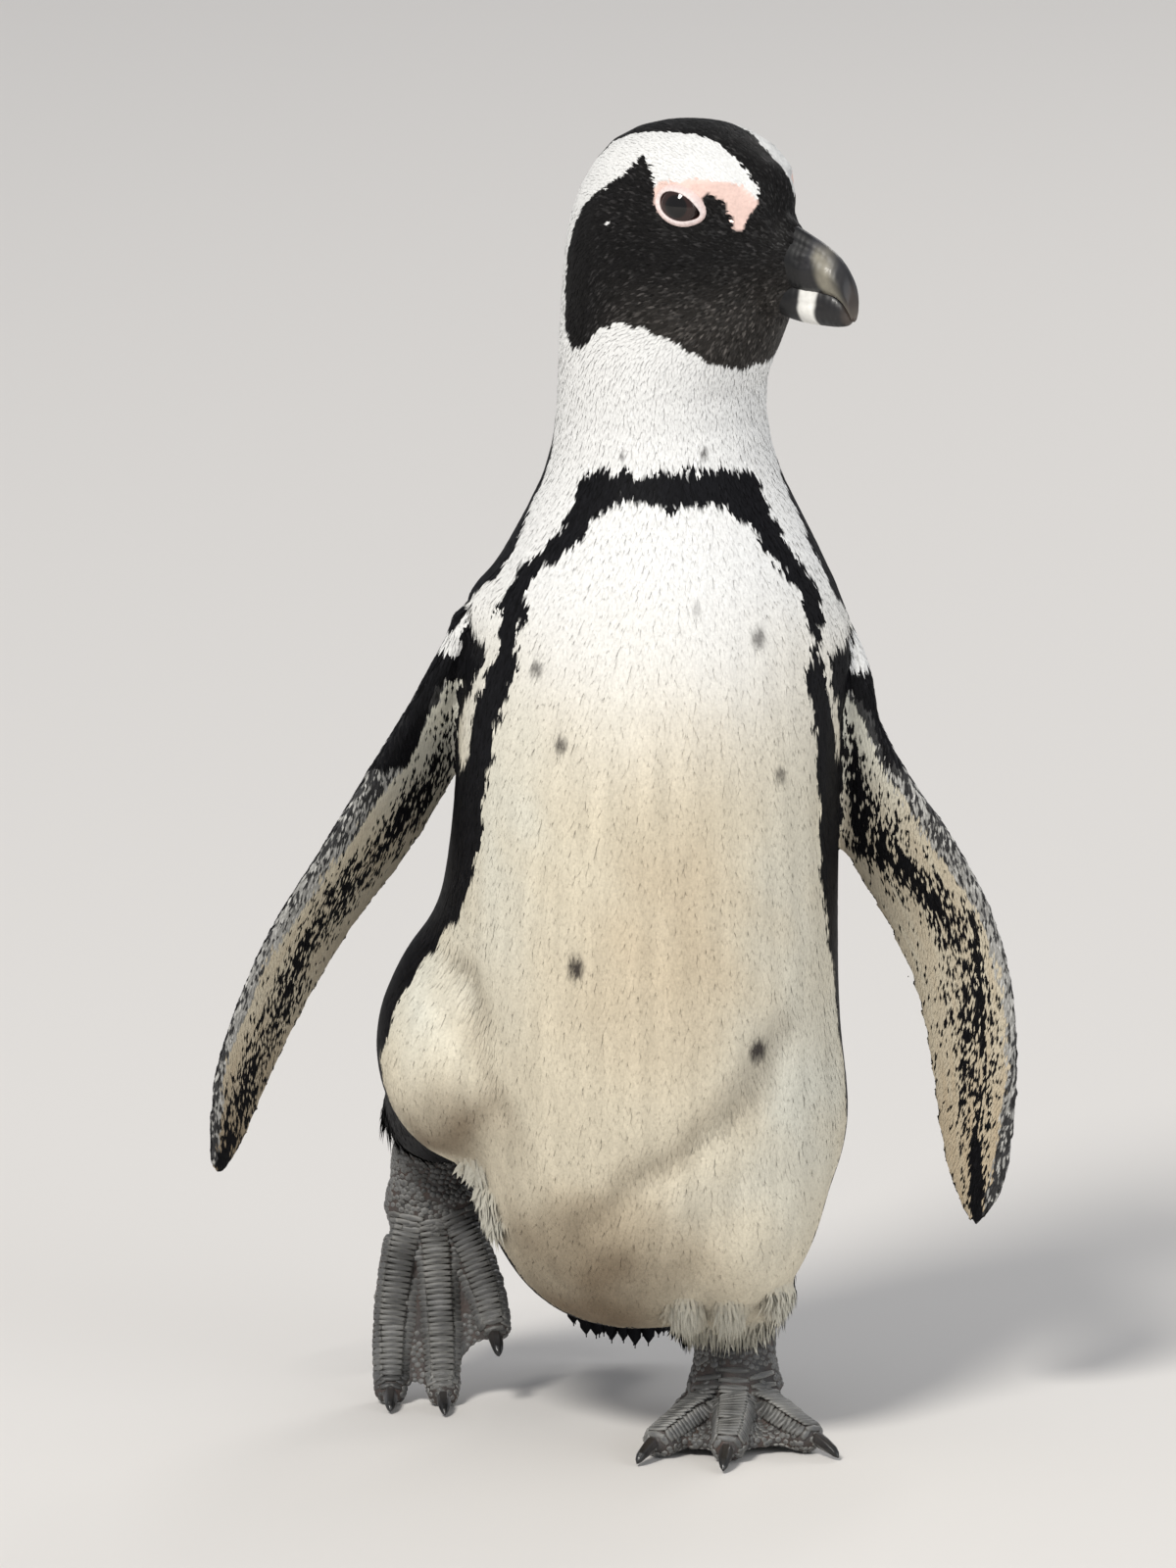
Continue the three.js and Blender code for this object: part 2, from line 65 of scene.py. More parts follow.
def headPoint(ahead, aside, height):
    ahead, aside, height = np.broadcast_arrays(ahead, aside, height)
    flat = headAxis + ahead[..., None] * lookDir + aside[..., None] * leftDir
    return np.stack([flat[..., 0], flat[..., 1], height], -1)


def boxMiddle(node):
    low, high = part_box(node)
    return (np.array(low) + np.array(high)) / 2


eyeAhead, eyeAside, eyeHeight = headShape["eye"]
eyesBetween = headPoint(eyeAhead, 0.0, eyeHeight)
birdOrigin = (boxMiddle("eye_left") + boxMiddle("eye_right")) / 2 - eyesBetween * mm


def toBird(points):
    return (np.asarray(points) - birdOrigin) / mm


def toRow(points):
    return np.asarray(points) * mm + birdOrigin


def inHead(points):
    flat = points - headAxis
    return flat @ lookDir, flat @ leftDir, points[:, 2]


# Helpers for values.
def unit(v):
    return v / np.maximum(np.linalg.norm(v, axis=-1, keepdims=True), 1e-9)


def smooth(low, high, x):
    t = np.clip((np.asarray(x, float) - low) / (high - low), 0, 1)
    return t * t * (3 - 2 * t)


def run(x, starts, full, fades, ends):
    # 0 to 1 and back to 0 along x
    return smooth(starts, full, x) * smooth(ends, fades, x)


def blend(a, b, share):
    return a + (b - a) * share


def table(rows, x):
    # one value per column of rows, at x along the first column
    rows = np.array(rows, float)
    rows = rows[np.argsort(rows[:, 0])]
    found = [np.interp(x, rows[:, 0], rows[:, i]) for i in range(1, rows.shape[1])]
    return found[0] if len(found) == 1 else found


def ripple(points, size, seed, waves=7):
    # smooth noise, about -1 to 1, with bumps about size across
    rng = np.random.default_rng(seed)
    total = np.zeros(len(points))
    for _ in range(waves):
        way = unit(rng.normal(size=3)) * 2 * math.pi / (size * rng.uniform(1.4, 3.0))
        total += np.sin(points @ way + rng.uniform(0, 2 * math.pi))
    return total / math.sqrt(waves) * 0.8


def shaken(points, size, seeds):
    # a step in each direction that wanders from place to place
    return np.stack([ripple(points, size, seed) for seed in seeds], 1)


def inOutline(x, y, outline):
    # which points lie inside a closed outline
    inside = np.zeros(len(x), bool)
    outline = np.array(outline, float)
    for (x0, y0), (x1, y1) in zip(outline, np.roll(outline, -1, 0)):
        if y0 == y1:
            continue
        crosses = (y0 > y) != (y1 > y)
        inside ^= crosses & (x < (x1 - x0) * (y - y0) / (y1 - y0) + x0)
    return inside


# Helpers for meshes.
def linked(name, data):
    piece = bpy.data.objects.new(name, data)
    bpy.context.scene.collection.objects.link(piece)
    return piece


def meshFrom(name, points, faces, sides=3):
    # a mesh object from arrays: points in metres, and faces of one number of sides
    faces = np.asarray(faces, np.int32).reshape(-1, sides)
    mesh = bpy.data.meshes.new(name)
    mesh.vertices.add(len(points))
    mesh.vertices.foreach_set("co", np.asarray(points, np.float32).ravel())
    mesh.loops.add(faces.size)
    mesh.loops.foreach_set("vertex_index", faces.ravel())
    mesh.polygons.add(len(faces))
    mesh.polygons.foreach_set("loop_start", np.arange(0, faces.size, sides, dtype=np.int32))
    mesh.polygons.foreach_set("use_smooth", np.ones(len(faces), bool))
    mesh.update(calc_edges=True)
    return linked(name, mesh)


def pointsOf(piece):
    found = np.zeros(len(piece.data.vertices) * 3, np.float32)
    piece.data.vertices.foreach_get("co", found)
    return found.reshape(-1, 3).astype(float)


def normalsOf(piece):
    found = np.zeros(len(piece.data.vertices) * 3, np.float32)
    piece.data.vertex_normals.foreach_get("vector", found)
    return found.reshape(-1, 3).astype(float)


def setPoints(piece, points):
    piece.data.vertices.foreach_set("co", np.asarray(points, np.float32).ravel())
    piece.data.update()


def trianglesOf(piece):
    mesh = piece.data
    mesh.calc_loop_triangles()
    found = np.zeros(len(mesh.loop_triangles) * 3, np.int32)
    mesh.loop_triangles.foreach_get("vertices", found)
    return found.reshape(-1, 3)


def paint(piece, colours):
    # a colour for each point
    layer = piece.data.color_attributes.new("tint", "FLOAT_COLOR", "POINT")
    full = np.ones((len(colours), 4), np.float32)
    full[:, :3] = colours
    layer.data.foreach_set("color", full.ravel())


def mapPatches(piece, spots, faces):
    # the map that textures are baked on: a place for each point, spread to the corners of the faces
    layer = piece.data.uv_layers.new(name="OFBake")
    layer.data.foreach_set("uv", spots[np.asarray(faces).ravel()].astype(np.float32).ravel())


def activate(piece):
    piece.select_set(True)
    bpy.context.view_layer.objects.active = piece


def applyModifiers(piece):
    bpy.ops.object.select_all(action="DESELECT")
    activate(piece)
    for modifier in list(piece.modifiers):
        bpy.ops.object.modifier_apply(modifier=modifier.name)
    piece.select_set(False)


def remeshed(piece, voxel):
    # one closed surface of even squares, voxel mm across
    remesh = piece.modifiers.new("remesh", "REMESH")
    remesh.mode = "VOXEL"
    remesh.voxel_size = voxel * mm
    applyModifiers(piece)


def surfaceTree(points, triangles):
    return BVHTree.FromPolygons([Vector(p) for p in points], [list(t) for t in triangles])


def pointTree(points):
    tree = KDTree(len(points))
    for i, p in enumerate(points):
        tree.insert(p, i)
    tree.balance()
    return tree


def neighboursOf(piece):
    # for each point, how many edges it has, and a function that adds up a value over its neighbours
    ends = np.zeros(len(piece.data.edges) * 2, np.int32)
    piece.data.edges.foreach_get("vertices", ends)
    a, b = ends.reshape(-1, 2).T
    count = len(piece.data.vertices)

    def summed(value):
        return np.bincount(a, value[b], count) + np.bincount(b, value[a], count)

    return np.bincount(a, minlength=count) + np.bincount(b, minlength=count), summed


def evened(piece, rounds, factors=(0.5, -0.52), share=None):
    # irons out facets: points move to their neighbours' middle and then back, so that little shrinks
    points = pointsOf(piece)
    near, summed = neighboursOf(piece)
    near = np.maximum(near, 1)
    share = np.ones(len(points)) if share is None else share
    for factor in factors * rounds:
        middle = np.stack([summed(points[:, i]) for i in range(3)], 1) / near[:, None]
        points += (middle - points) * factor * share[:, None]
    setPoints(piece, points)
    return points


def melted(piece, rounds, share):
    # plain smoothing, which shrinks thin places
    return evened(piece, rounds, (0.5,), share)


def finishPiece(piece, slot, finish, nodes=()):
    piece.data.materials.append(finishes[finish])
    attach(piece, "root")
    if nodes:
        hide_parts(*nodes)


# Camera, light and floor.
viewSettings = {
    "aim": (-20.0, 0.0, 273.5),  # the middle of the picture
    "elevation": 12.0,  # degrees that the camera looks down
    "distance": 9.0,  # metres
    "tall": 0.64,  # metres that the picture takes in, top to bottom
    "sensor": 36.0,
}


def addCamera():
    aim = toRow(viewSettings["aim"])
    rise = math.radians(viewSettings["elevation"])
    away = np.array([0.0, -math.cos(rise), math.sin(rise)]) * viewSettings["distance"]
    lens = bpy.data.cameras.new("camera")
    lens.sensor_fit = "VERTICAL"
    lens.sensor_height = viewSettings["sensor"]
    lens.lens = viewSettings["sensor"] * viewSettings["distance"] / viewSettings["tall"]
    lens.clip_end = 100
    camera = linked("camera", lens)
    camera.location = Vector(aim + away)
    camera.rotation_euler = Vector(-away).to_track_quat("-Z", "Y").to_euler()
    bpy.context.scene.camera = camera


lightSettings = {
    # place in metres, size, watts and colour
    "key": ((-2.4, -4.4, 5.6), 1.9, 430, (1.0, 0.97, 0.92)),
    "fill": ((3.6, -3.2, 1.6), 3.0, 58, (0.94, 0.97, 1.0)),
    "rim": ((1.6, 3.0, 2.4), 1.4, 26, (1.0, 0.98, 0.95)),
}
skySettings = {"colour": (0.93, 0.95, 1.0, 1), "strength": 0.46}
floorSettings = {"size": 24, "middle": (0, 4, 0), "colour": (0.70, 0.68, 0.655, 1), "roughness": 0.85}


def addLights():
    middle = np.array([0.0, 0.0, 0.27])
    for name, (place, size, watts, colour) in lightSettings.items():
        data = bpy.data.lights.new(name, "AREA")
        data.shape = "DISK"
        data.size, data.energy, data.color = size, watts, colour
        lamp = linked(name, data)
        lamp.location = Vector(place)
        lamp.rotation_euler = Vector(middle - np.array(place)).to_track_quat("-Z", "Y").to_euler()
    world = bpy.data.worlds.new("studio")
    world.use_nodes = True
    sky = world.node_tree.nodes["Background"]
    sky.inputs["Color"].default_value = skySettings["colour"]
    sky.inputs["Strength"].default_value = skySettings["strength"]
    bpy.context.scene.world = world
    bpy.context.scene.view_settings.view_transform = "Standard"


def addFloor():
    bpy.ops.mesh.primitive_plane_add(size=floorSettings["size"], location=floorSettings["middle"])
    floor = bpy.context.object
    floor.name = "floor"
    bpy.ops.object.transform_apply(location=True, rotation=True, scale=True)
    material = bpy.data.materials.new("floorFinish")
    material.use_nodes = True
    shader = material.node_tree.nodes["Principled BSDF"]
    shader.inputs["Base Color"].default_value = floorSettings["colour"]
    shader.inputs["Roughness"].default_value = floorSettings["roughness"]
    floor.data.materials.append(material)
    floor.select_set(False)


addCamera()
addLights()
addFloor()
print("camera, light and floor are in place")


# Markings: where the plumage is black, white, cream or bare.
# Outlines on the face are (degrees from straight ahead, height); both sides of the head are alike.
faceMarks = {
    "mask": [
        (-12, 450), (8, 450), (21, 451), (39, 455), (53, 461.5), (62, 465), (76, 469), (95, 469.5),
        (104, 466), (110, 461), (117, 456.5), (123, 455), (128, 457), (134, 461), (138, 467), (141, 477),
        (142.5, 488), (142, 499), (139, 508), (133, 515), (123, 520.5), (113, 525), (106, 528), (98, 533),
        (92, 537.5), (84, 535), (78, 532), (73, 527), (71, 520), (62, 516), (45, 517), (42, 520), (41, 523.5),
        (37, 524.5), (33, 523.5), (29, 520), (27, 514.5), (26, 510), (24.5, 508.8), (22, 510), (19.5, 513.5),
        (16.5, 518), (14, 522), (-12, 522),
    ],
    "pink": [
        (76, 521), (73, 526), (66, 529), (56, 530), (44, 530.6), (34, 530.4), (26, 529.5), (19, 526.5),
        (14, 523), (13, 516), (17, 510), (22, 507), (27, 507), (31, 517), (35, 524), (41, 518), (55, 514),
        (70, 515),
    ],
    # half the width of the black cap, by how far ahead
    "capHalf": [(-60, 15), (-28, 15), (-10, 15.5), (1, 15.5), (15, 12.5), (24, 10.8), (34, 9.6), (41, 8.8),
                (47, 9.2), (52, 16)],
    "capShift": [(15, 0), (34, -2.0), (60, -2.0)],  # its middle, aside, by how far ahead
    "capUnder": 512.0,
    "paintedEarGlint": (-11.0, 26.0, 509.0, 1.3),  # a painted glint at the ear opening, left out of the black: ahead, least aside, height and radius
}
# Rows from the throat down: height and degrees from the breast's middle, the bird's left first.
bodyMarks = {
    "middle": [(300, 4, 4), (330, 4, 4), (380, 10.5, 5), (425, 10.5, 8.5), (460, 15, 7), (500, 20.2, 5)],
    "napeHalf": [(407, 92), (420, 76), (430, 64), (450, 42), (480, 24), (500, 20)],
    "napeTurn": [(400, 180), (480, 230)],
    "bandInner": {
        1: [(50, 92), (66, 86), (76, 79), (83, 78), (105, 83), (120, 86), (160, 86), (190, 79), (221, 68),
            (247, 62), (271, 61), (285, 61), (306, 58.5), (323, 57), (338, 59), (350, 60), (358, 58),
            (367, 54), (373, 50), (381, 46), (391, 42), (397, 34)],
        -1: [(120, 88), (150, 86), (163, 83), (170, 80), (201, 78.5), (209, 76.5), (217, 72), (226, 67),
             (240, 60.5), (257, 57.5), (275, 56), (295, 54), (307, 52), (320, 50), (332, 48), (347, 51),
             (355, 52), (364, 53), (373, 46), (380, 40), (388, 33), (397, 27)],
    },
    "bandOuter": {
        1: [(284, 80), (291, 75), (302, 72), (311, 68), (319, 66), (325, 64), (332, 62), (338, 64), (344, 67),
            (353, 69), (361, 69), (368, 66), (376, 61), (384, 60), (394, 57), (406, 57)],
        -1: [(284, 74), (294, 67), (303, 68), (308, 67.5), (315, 66), (320, 64), (328, 61), (333, 58.5),
             (338, 59), (349, 62.5), (360, 65), (368, 64), (375, 57), (384, 50), (390, 45), (406, 45)],
    },
    "back": {
        1: [(284, 84), (288, 86), (295, 83), (306, 75), (313, 71), (320, 69), (325, 67), (329, 68), (332, 72),
            (333, 77), (335, 85), (341, 88), (349, 84), (355, 80), (360, 79), (369, 80), (381, 82), (394, 84),
            (407, 90)],
        -1: [(284, 78), (292, 87), (298, 86), (304, 82), (310, 76), (315, 72), (321, 68), (325, 67),
             (328, 65), (333, 67), (335, 70), (338, 76), (341, 82), (346, 86), (353, 82), (362, 77),
             (372, 76.5), (381, 79), (395, 84), (407, 83)],
    },
    "barTop": [(-49, 406), (-44, 408), (-20, 407.5), (0, 408.5), (20, 410), (40, 407.5), (58, 404)],
    "barBottom": [(-49, 382), (-44, 386), (-38, 389), (-32, 392), (-25, 396), (0, 395), (20, 396.5),
                  (35, 393), (44, 387), (58, 380)],
    # x, height, radius and darkness
    "spots": [(-41, 332, 3.0, 0.75), (-31, 304, 3.0, 0.85), (-25, 213, 3.9, 0.95), (49, 175, 4.1, 0.95),
              (49, 345, 3.4, 0.7), (58, 289, 2.8, 0.75), (24, 358, 2.2, 0.35), (27, 417, 1.9, 0.8),
              (-6, 416, 1.5, 0.7)],
    # soft tones of the belly: x, height, reach along each, amount, and the colour they turn to; the brown
    # ones low on the belly and under the thighs are soiling and painted shade
    "tones": [
        (18, 232, 27, 62, 0.50, "tan"), (-12, 200, 34, 40, 0.28, "tan"), (-4, 98, 40, 24, 0.45, "tan"),
        (-13, 80, 31, 21, 0.8, "earth"), (-17, 52, 33, 26, 0.95, "earth"), (-46, 88, 15, 20, 0.55, "earth"),
        (-70, 139, 17, 15, 0.85, "earth"), (-84, 128, 22, 9, 0.8, "earth"),
        (66, 152, 19, 46, 0.85, "pale"), (-88, 190, 18, 26, 0.85, "pale"), (-57, 262, 15, 66, 0.7, "pale"),
        (40, 112, 26, 18, 0.4, "pale"), (66, 240, 14, 60, 0.4, "pale"),
    ],
    # the folds are painted darker in the brown tone, as painted shade
    "creaseShade": {"tone": "earth", "amount": 0.26, "width": 7.5},
    "collarHeight": 407,  # the black of the body ends here, and that of the nape starts
    "creamFrom": (378, 265),  # the height where white starts to turn to cream, and where it has
    "ragged": {"fine": 1.2, "coarse": 1.3, "single": 0.75},  # how far the edges of the marks wander, mm
    "streaks": {"wide": 0.055, "fine": 0.03},
}
# Soft forms of the body: swells as middle, reach along x, y and z and height, and folds down its front.
bodyForms = {
    "swells": [
        ((82, 0, 128), (40, 45, 36), 6.5),
        ((-82, 10, 209), (26, 40, 13), 4.5),
        ((50, -40, 118), (26, 40, 26), 2.2),
        ((-66, -5, 351), (19, 30, 10), 4.6),
        ((-6, 20, 48), (34, 45, 16), -2.6),
        ((90, -4, 328), (15, 30, 24), 3.0),
    ],
    # x and height along each fold, then its depth and width
    "folds": [
        ([(-69, 204), (-67, 189), (-63, 169), (-58, 152)], 2.4, 6.0),
        ([(60, 184), (50, 161), (36, 147), (20, 136), (0, 124), (-16, 106)], 2.7, 7.5),
    ],
}
coatColours = {
    "black": (0.0065, 0.0065, 0.0078),
    "faceBlack": (0.0085, 0.0080, 0.0080),
    # the black low on the face, painted lighter and browner as painted sheen
    "throat": (0.026, 0.0235, 0.0215),
    "white": (0.79, 0.79, 0.775),
    "cream": (0.66, 0.60, 0.47),
    "pale": (0.67, 0.66, 0.575),
    "tan": (0.50, 0.39, 0.255),
    "spot": (0.032, 0.026, 0.025),
    # a brown for soiling, which also stands for painted shade under the belly, under the thighs and in its
    # folds
    "earth": (0.17, 0.125, 0.08),
    "pink": (0.78, 0.57, 0.505),
    # a pale grey painted on the black feathers of the flippers' rims, as painted highlight
    "rimHighlight": (0.40, 0.395, 0.375),
    "rimDark": (0.045, 0.045, 0.046),
    "scale": (0.095, 0.096, 0.097),
    "scaleRim": (0.29, 0.286, 0.268),
    "web": (0.075, 0.052, 0.044),
    "clawRoot": (0.030, 0.026, 0.024),
    "clawTip": (0.009, 0.009, 0.009),
}
shade = {name: np.array(colour) for name, colour in coatColours.items()}


def toned(colour, name, share):
    # colours turned to a named one, by a share for each point
    return blend(colour, shade[name], share[:, None])


def bodyAngle(points):
    x, y = table(bodyMarks["middle"], points[:, 2])
    return np.degrees(np.arctan2(points[:, 0] - x, y - points[:, 1]))


def inCap(ahead, aside, spare=0.0):
    off = np.abs(aside - table(faceMarks["capShift"], ahead))
    return off < table(faceMarks["capHalf"], ahead) + spare


def faceMask(points):
    ahead, aside, height = inHead(points)
    cap = inCap(ahead, aside) & (height > faceMarks["capUnder"])
    aside = np.abs(aside)
    angle = np.degrees(np.arctan2(aside, ahead))
    mask = inOutline(angle, height, faceMarks["mask"])
    fleckAhead, fleckAside, fleckHeight, fleckSize = faceMarks["paintedEarGlint"]
    # a painted glint at the ear opening stays out of the black
    earGlint = (ahead - fleckAhead) ** 2 + (height - fleckHeight) ** 2 < fleckSize**2
    return (mask | cap) & ~(earGlint & (aside > fleckAside))


def barePink(points):
    ahead, aside, height = inHead(points)
    angle = np.degrees(np.arctan2(np.abs(aside), ahead))
    pink = inOutline(angle, height, faceMarks["pink"])
    return pink & ~inCap(ahead, aside, 0.5) & ~faceMask(points)


def nape(points):
    height = points[:, 2]
    angle = bodyAngle(points) % 360
    away = np.abs(angle - table(bodyMarks["napeTurn"], height))
    return (away < table(bodyMarks["napeHalf"], height)) & (height > bodyMarks["collarHeight"])


def trunkBlack(points):
    height = points[:, 2]
    angle = bodyAngle(points)
    degrees = np.abs(angle)
    black = np.zeros(len(points), bool)
    for side in (1, -1):
        bandInner, bandOuter, back = (bodyMarks[name][side] for name in ("bandInner", "bandOuter", "back"))
        beforeBack = degrees < table(back, height)
        strip = (degrees > table(bandOuter, height)) & beforeBack & (height > back[0][0])
        collar = (height > bandInner[-1][0]) & beforeBack
        black |= (angle * side >= 0) & (degrees > table(bandInner, height)) & ~strip & ~collar
    black &= height <= bodyMarks["collarHeight"]
    bar = (height < table(bodyMarks["barTop"], angle)) & (height > table(bodyMarks["barBottom"], angle))
    black |= bar & (angle > -48) & (angle < 58)
    # the belly runs back between the legs, and the feathers under the tail are dark
    black |= (points[:, 1] > 70) & (height < 95)
    return black


def spotShade(points):
    # how much of a dark spot there is at each point
    shadeHere = np.zeros(len(points))
    for x, height, radius, dark in bodyMarks["spots"]:
        away = np.hypot(points[:, 0] - x, (points[:, 2] - height) * 0.75) / radius
        shadeHere = np.maximum(shadeHere, dark * smooth(1.1, 0.55, away) * (points[:, 1] < 0))
    return shadeHere


def lineReach(points, line):
    # how far points are, as seen from the front, from a line of x and height
    away = np.full(len(points), 1e9)
    line = np.array(line, float)
    for start, end in zip(line[:-1], line[1:]):
        reach = end - start
        share = np.clip(((points[:, [0, 2]] - start) @ reach) / (reach @ reach), 0, 1)
        near = start + share[:, None] * reach
        away = np.minimum(away, np.hypot(points[:, 0] - near[:, 0], points[:, 2] - near[:, 1]))
    return away


def whiteOf(points):
    # white on the neck and chest, and cream with tan and paler places on the belly; low on the belly, under
    # the thighs and along its folds it turns browner and darker, as soiling and painted shade
    height = points[:, 2]
    low = smooth(*bodyMarks["creamFrom"], height + 6 * ripple(points, 30, 11))
    colour = toned(shade["white"], "cream", low)
    streaks = ripple(points * np.array([1, 1, 0.10]), 4.5, 12)
    wisps = ripple(points * np.array([1, 1, 0.16]), 2.2, 14)
    stirred = points + shaken(points, 17, (15, 16, 17)) * 6
    front = np.maximum(smooth(75, 45, points[:, 1]), smooth(82, 68, height))
    for x, z, wide, tall, amount, tone in bodyMarks["tones"]:
        away = -(((stirred[:, 0] - x) / wide) ** 2) - ((stirred[:, 2] - z) / tall) ** 2
        colour = toned(colour, tone, amount * np.exp(away) * front)
    # painted shade along the folds
    creaseShade = bodyMarks["creaseShade"]
    for line, _, _ in bodyForms["folds"]:
        share = creaseShade["amount"] * np.exp(-((lineReach(stirred, line) / creaseShade["width"]) ** 2)) * front
        colour = toned(colour, creaseShade["tone"], share)
    amount = bodyMarks["streaks"]
    return colour * (1 + (amount["wide"] * streaks + amount["fine"] * wisps) * low)[:, None]


def coatColour(points, rng=None):
    # the colour of the plumage of the head, neck and body; rng gives single feathers an edge of their own
    onBody = smooth(450, 420, points[:, 2:])
    ragged = 0.55 + 0.75 * onBody
    wander = bodyMarks["ragged"]
    tested = points + shaken(points, 4.0, (21, 22, 23)) * wander["fine"] * ragged
    tested += shaken(points, 10.0, (24, 25, 26)) * wander["coarse"] * onBody
    if rng is not None:
        tested = tested + rng.normal(scale=wander["single"], size=points.shape) * ragged
    height = points[:, 2]
    ahead, aside, _ = inHead(points)
    face = faceMask(tested)
    colour = whiteOf(points)
    dark = (trunkBlack(tested) & (height < 430)) | (nape(tested) & (height > 400)) | face
    # low on the face the black is painted lighter and browner, as painted sheen
    throat = smooth(506, 474, height + 0.25 * np.abs(aside)) * smooth(-22, 14, ahead)
    faceColour = toned(shade["faceBlack"], "throat", throat)
    black = np.where((face & (height > 445))[:, None], faceColour, shade["black"])
    colour = np.where(dark[:, None], black, colour)
    pink = barePink(tested)
    return np.where(pink[:, None], shade["pink"], colour), dark, pink


# Flippers: where a point lies along and across each of them, from the solids.
flipperMarks = {
    # height, and share across from the trailing edge at -1 to the leading edge at 1
    "rimFrom": {
        1: [(70, 0.15), (95, 0.4), (120, 0.6), (150, 0.72), (180, 0.78), (225, 0.74), (250, 0.5),
            (275, 0.35), (300, 0.2)],
        -1: [(70, -0.4), (95, 0.3), (130, 0.7), (170, 0.78), (215, 0.68), (240, 0.6), (270, 0.42),
             (300, 0.25)],
    },
    # how many of the rim's feathers are pale, as painted highlight, and how many are dark inside it, where,
    # and how widely spread
    "rimHighlight": [(70, -1.1), (110, -0.6), (150, 0.2), (180, 0.7), (225, 0.6), (250, -0.1), (275, -0.5),
                (300, -1.2)],
    "dashes": {
        1: [(70, 0.95), (92, 0.5), (125, 0.44), (150, 0.5), (168, 0.62), (190, 0.52), (213, 0.6),
            (240, 0.72), (275, 0.64), (290, 0.5), (298, 0.25), (304, 0)],
        -1: [(70, 1.2), (100, 0.95), (114, 0.72), (135, 0.52), (170, 0.55), (215, 0.6), (240, 0.64),
             (258, 0.7), (285, 0.55), (297, 0.3), (304, 0)],
    },
    "dashMiddle": {
        1: [(70, 0), (140, 0), (165, 0.1), (190, 0.28), (213, 0.26), (228, 0), (240, -0.3), (275, -0.45),
            (300, -0.4)],
        -1: [(70, 0), (110, 0.1), (135, -0.15), (170, -0.15), (215, 0.05), (240, -0.2), (258, -0.38),
             (285, -0.36)],
    },
    "dashSpread": {
        1: [(70, 0.5), (110, 0.4), (140, 0.6), (170, 0.5), (190, 0.4), (213, 0.5), (240, 0.5), (275, 0.42),
            (300, 0.3)],
        -1: [(70, 1.2), (110, 1.0), (135, 0.75), (170, 0.6), (215, 0.42), (240, 0.5), (285, 0.4),
             (300, 0.3)],
    },
    "streakHalf": [(70, 0.42), (84, 0.3), (118, 0.1)],  # the dark streak at the tip
    "tipTop": 118,
    "patchFoot": 318,  # over this height the pale part of the shoulder is white
    # seen from the front: x and height where the spotted part starts, and the white patch over its bar
    "creamTop": {
        1: [(80, 304), (82.2, 308), (84.2, 309.5), (86.7, 310.5), (90.2, 307.6), (93.2, 304.6),
            (95.2, 302.5), (97.2, 297.4), (98.7, 290), (102, 280)],
        -1: [(-94, 280), (-90, 289), (-88, 296), (-85, 304), (-84, 309), (-83, 312.5), (-80, 315),
             (-76, 316.5), (-73, 317), (-71, 313), (-69, 300)],
    },
    "patch": {
        1: [(74, 358), (79.5, 354), (83, 348), (86.5, 342), (90, 337), (93.5, 331), (95.5, 323), (95, 319.5),
            (91, 320.5), (87, 319.5), (87.5, 324), (87, 329), (85.6, 333), (80, 334), (74, 336)],
        -1: [(-60, 353), (-66, 349.5), (-71, 344), (-75.5, 338.5), (-80, 331.5), (-80.5, 327.5), (-76, 325.5),
             (-72, 326.5), (-73, 332), (-72.4, 336), (-70.5, 339.5), (-66, 341), (-60, 340)],
    },
}


def drawnOnTriangles(rng, chance, count):
    # count places on triangles: the triangle of each, and how far it is along two of that triangle's sides
    pick = rng.choice(len(chance), count, p=chance / chance.sum())
    u, v = rng.random((2, count))
    flip = u + v > 1
    u[flip], v[flip] = 1 - u[flip], 1 - v[flip]
    return pick, u, v


def solidPoints(node, count, seed):
    # points spread evenly over a CAD node
    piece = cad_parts[node]
    points = toBird(pointsOf(piece))
    a, b, c = (points[column] for column in trianglesOf(piece).T)
    areas = np.linalg.norm(np.cross(b - a, c - a), axis=1)
    pick, u, v = drawnOnTriangles(np.random.default_rng(seed), areas, count)
    return a[pick] + (b - a)[pick] * u[:, None] + (c - a)[pick] * v[:, None]


def flipperSlices(node, side):
    # height, middle, direction across and half width of a flipper, in slices from its tip to the shoulder
    points = solidPoints(node, 26000, 5)
    heights = np.arange(points[:, 2].min() + 3, min(points[:, 2].max() - 6, 345), 6.0)
    rows = []
    for height in heights:
        flat = points[np.abs(points[:, 2] - height) < 6][:, :2]
        middle = flat.mean(0)
        across = np.linalg.svd(flat - middle, full_matrices=False)[2][0]
        across = across * np.sign(across @ np.array([side, -0.5]))
        spread = (flat - middle) @ across
        low, high = np.percentile(spread, (0.5, 99.5))
        rows.append((height, *(middle + across * (low + high) / 2), *across, (high - low) / 2))
    return np.array(rows)


flipperNodes = {1: "flipper_left", -1: "flipper_right"}
flipperRows = {side: flipperSlices(node, side) for side, node in flipperNodes.items()}


def onFlipper(points, side):
    # share of the way across, the directions across it and out of its face, and the way down to its tip
    x, y, acrossX, acrossY, half = table(flipperRows[side], points[:, 2])
    across = unit(np.stack([acrossX, acrossY, np.zeros(len(x))], 1))
    middle = np.stack([x, y, points[:, 2]], 1)
    share = np.sum((points - middle) * across, 1) / half
    face = np.stack([across[:, 1], -across[:, 0], across[:, 2]], 1) * side * -1
    above = table(flipperRows[side], points[:, 2] + 8)
    below = table(flipperRows[side], points[:, 2] - 8)
    along = unit(np.stack([below[0] - above[0], below[1] - above[1], np.full(len(x), -16.0)], 1))
    return share, across, face, along


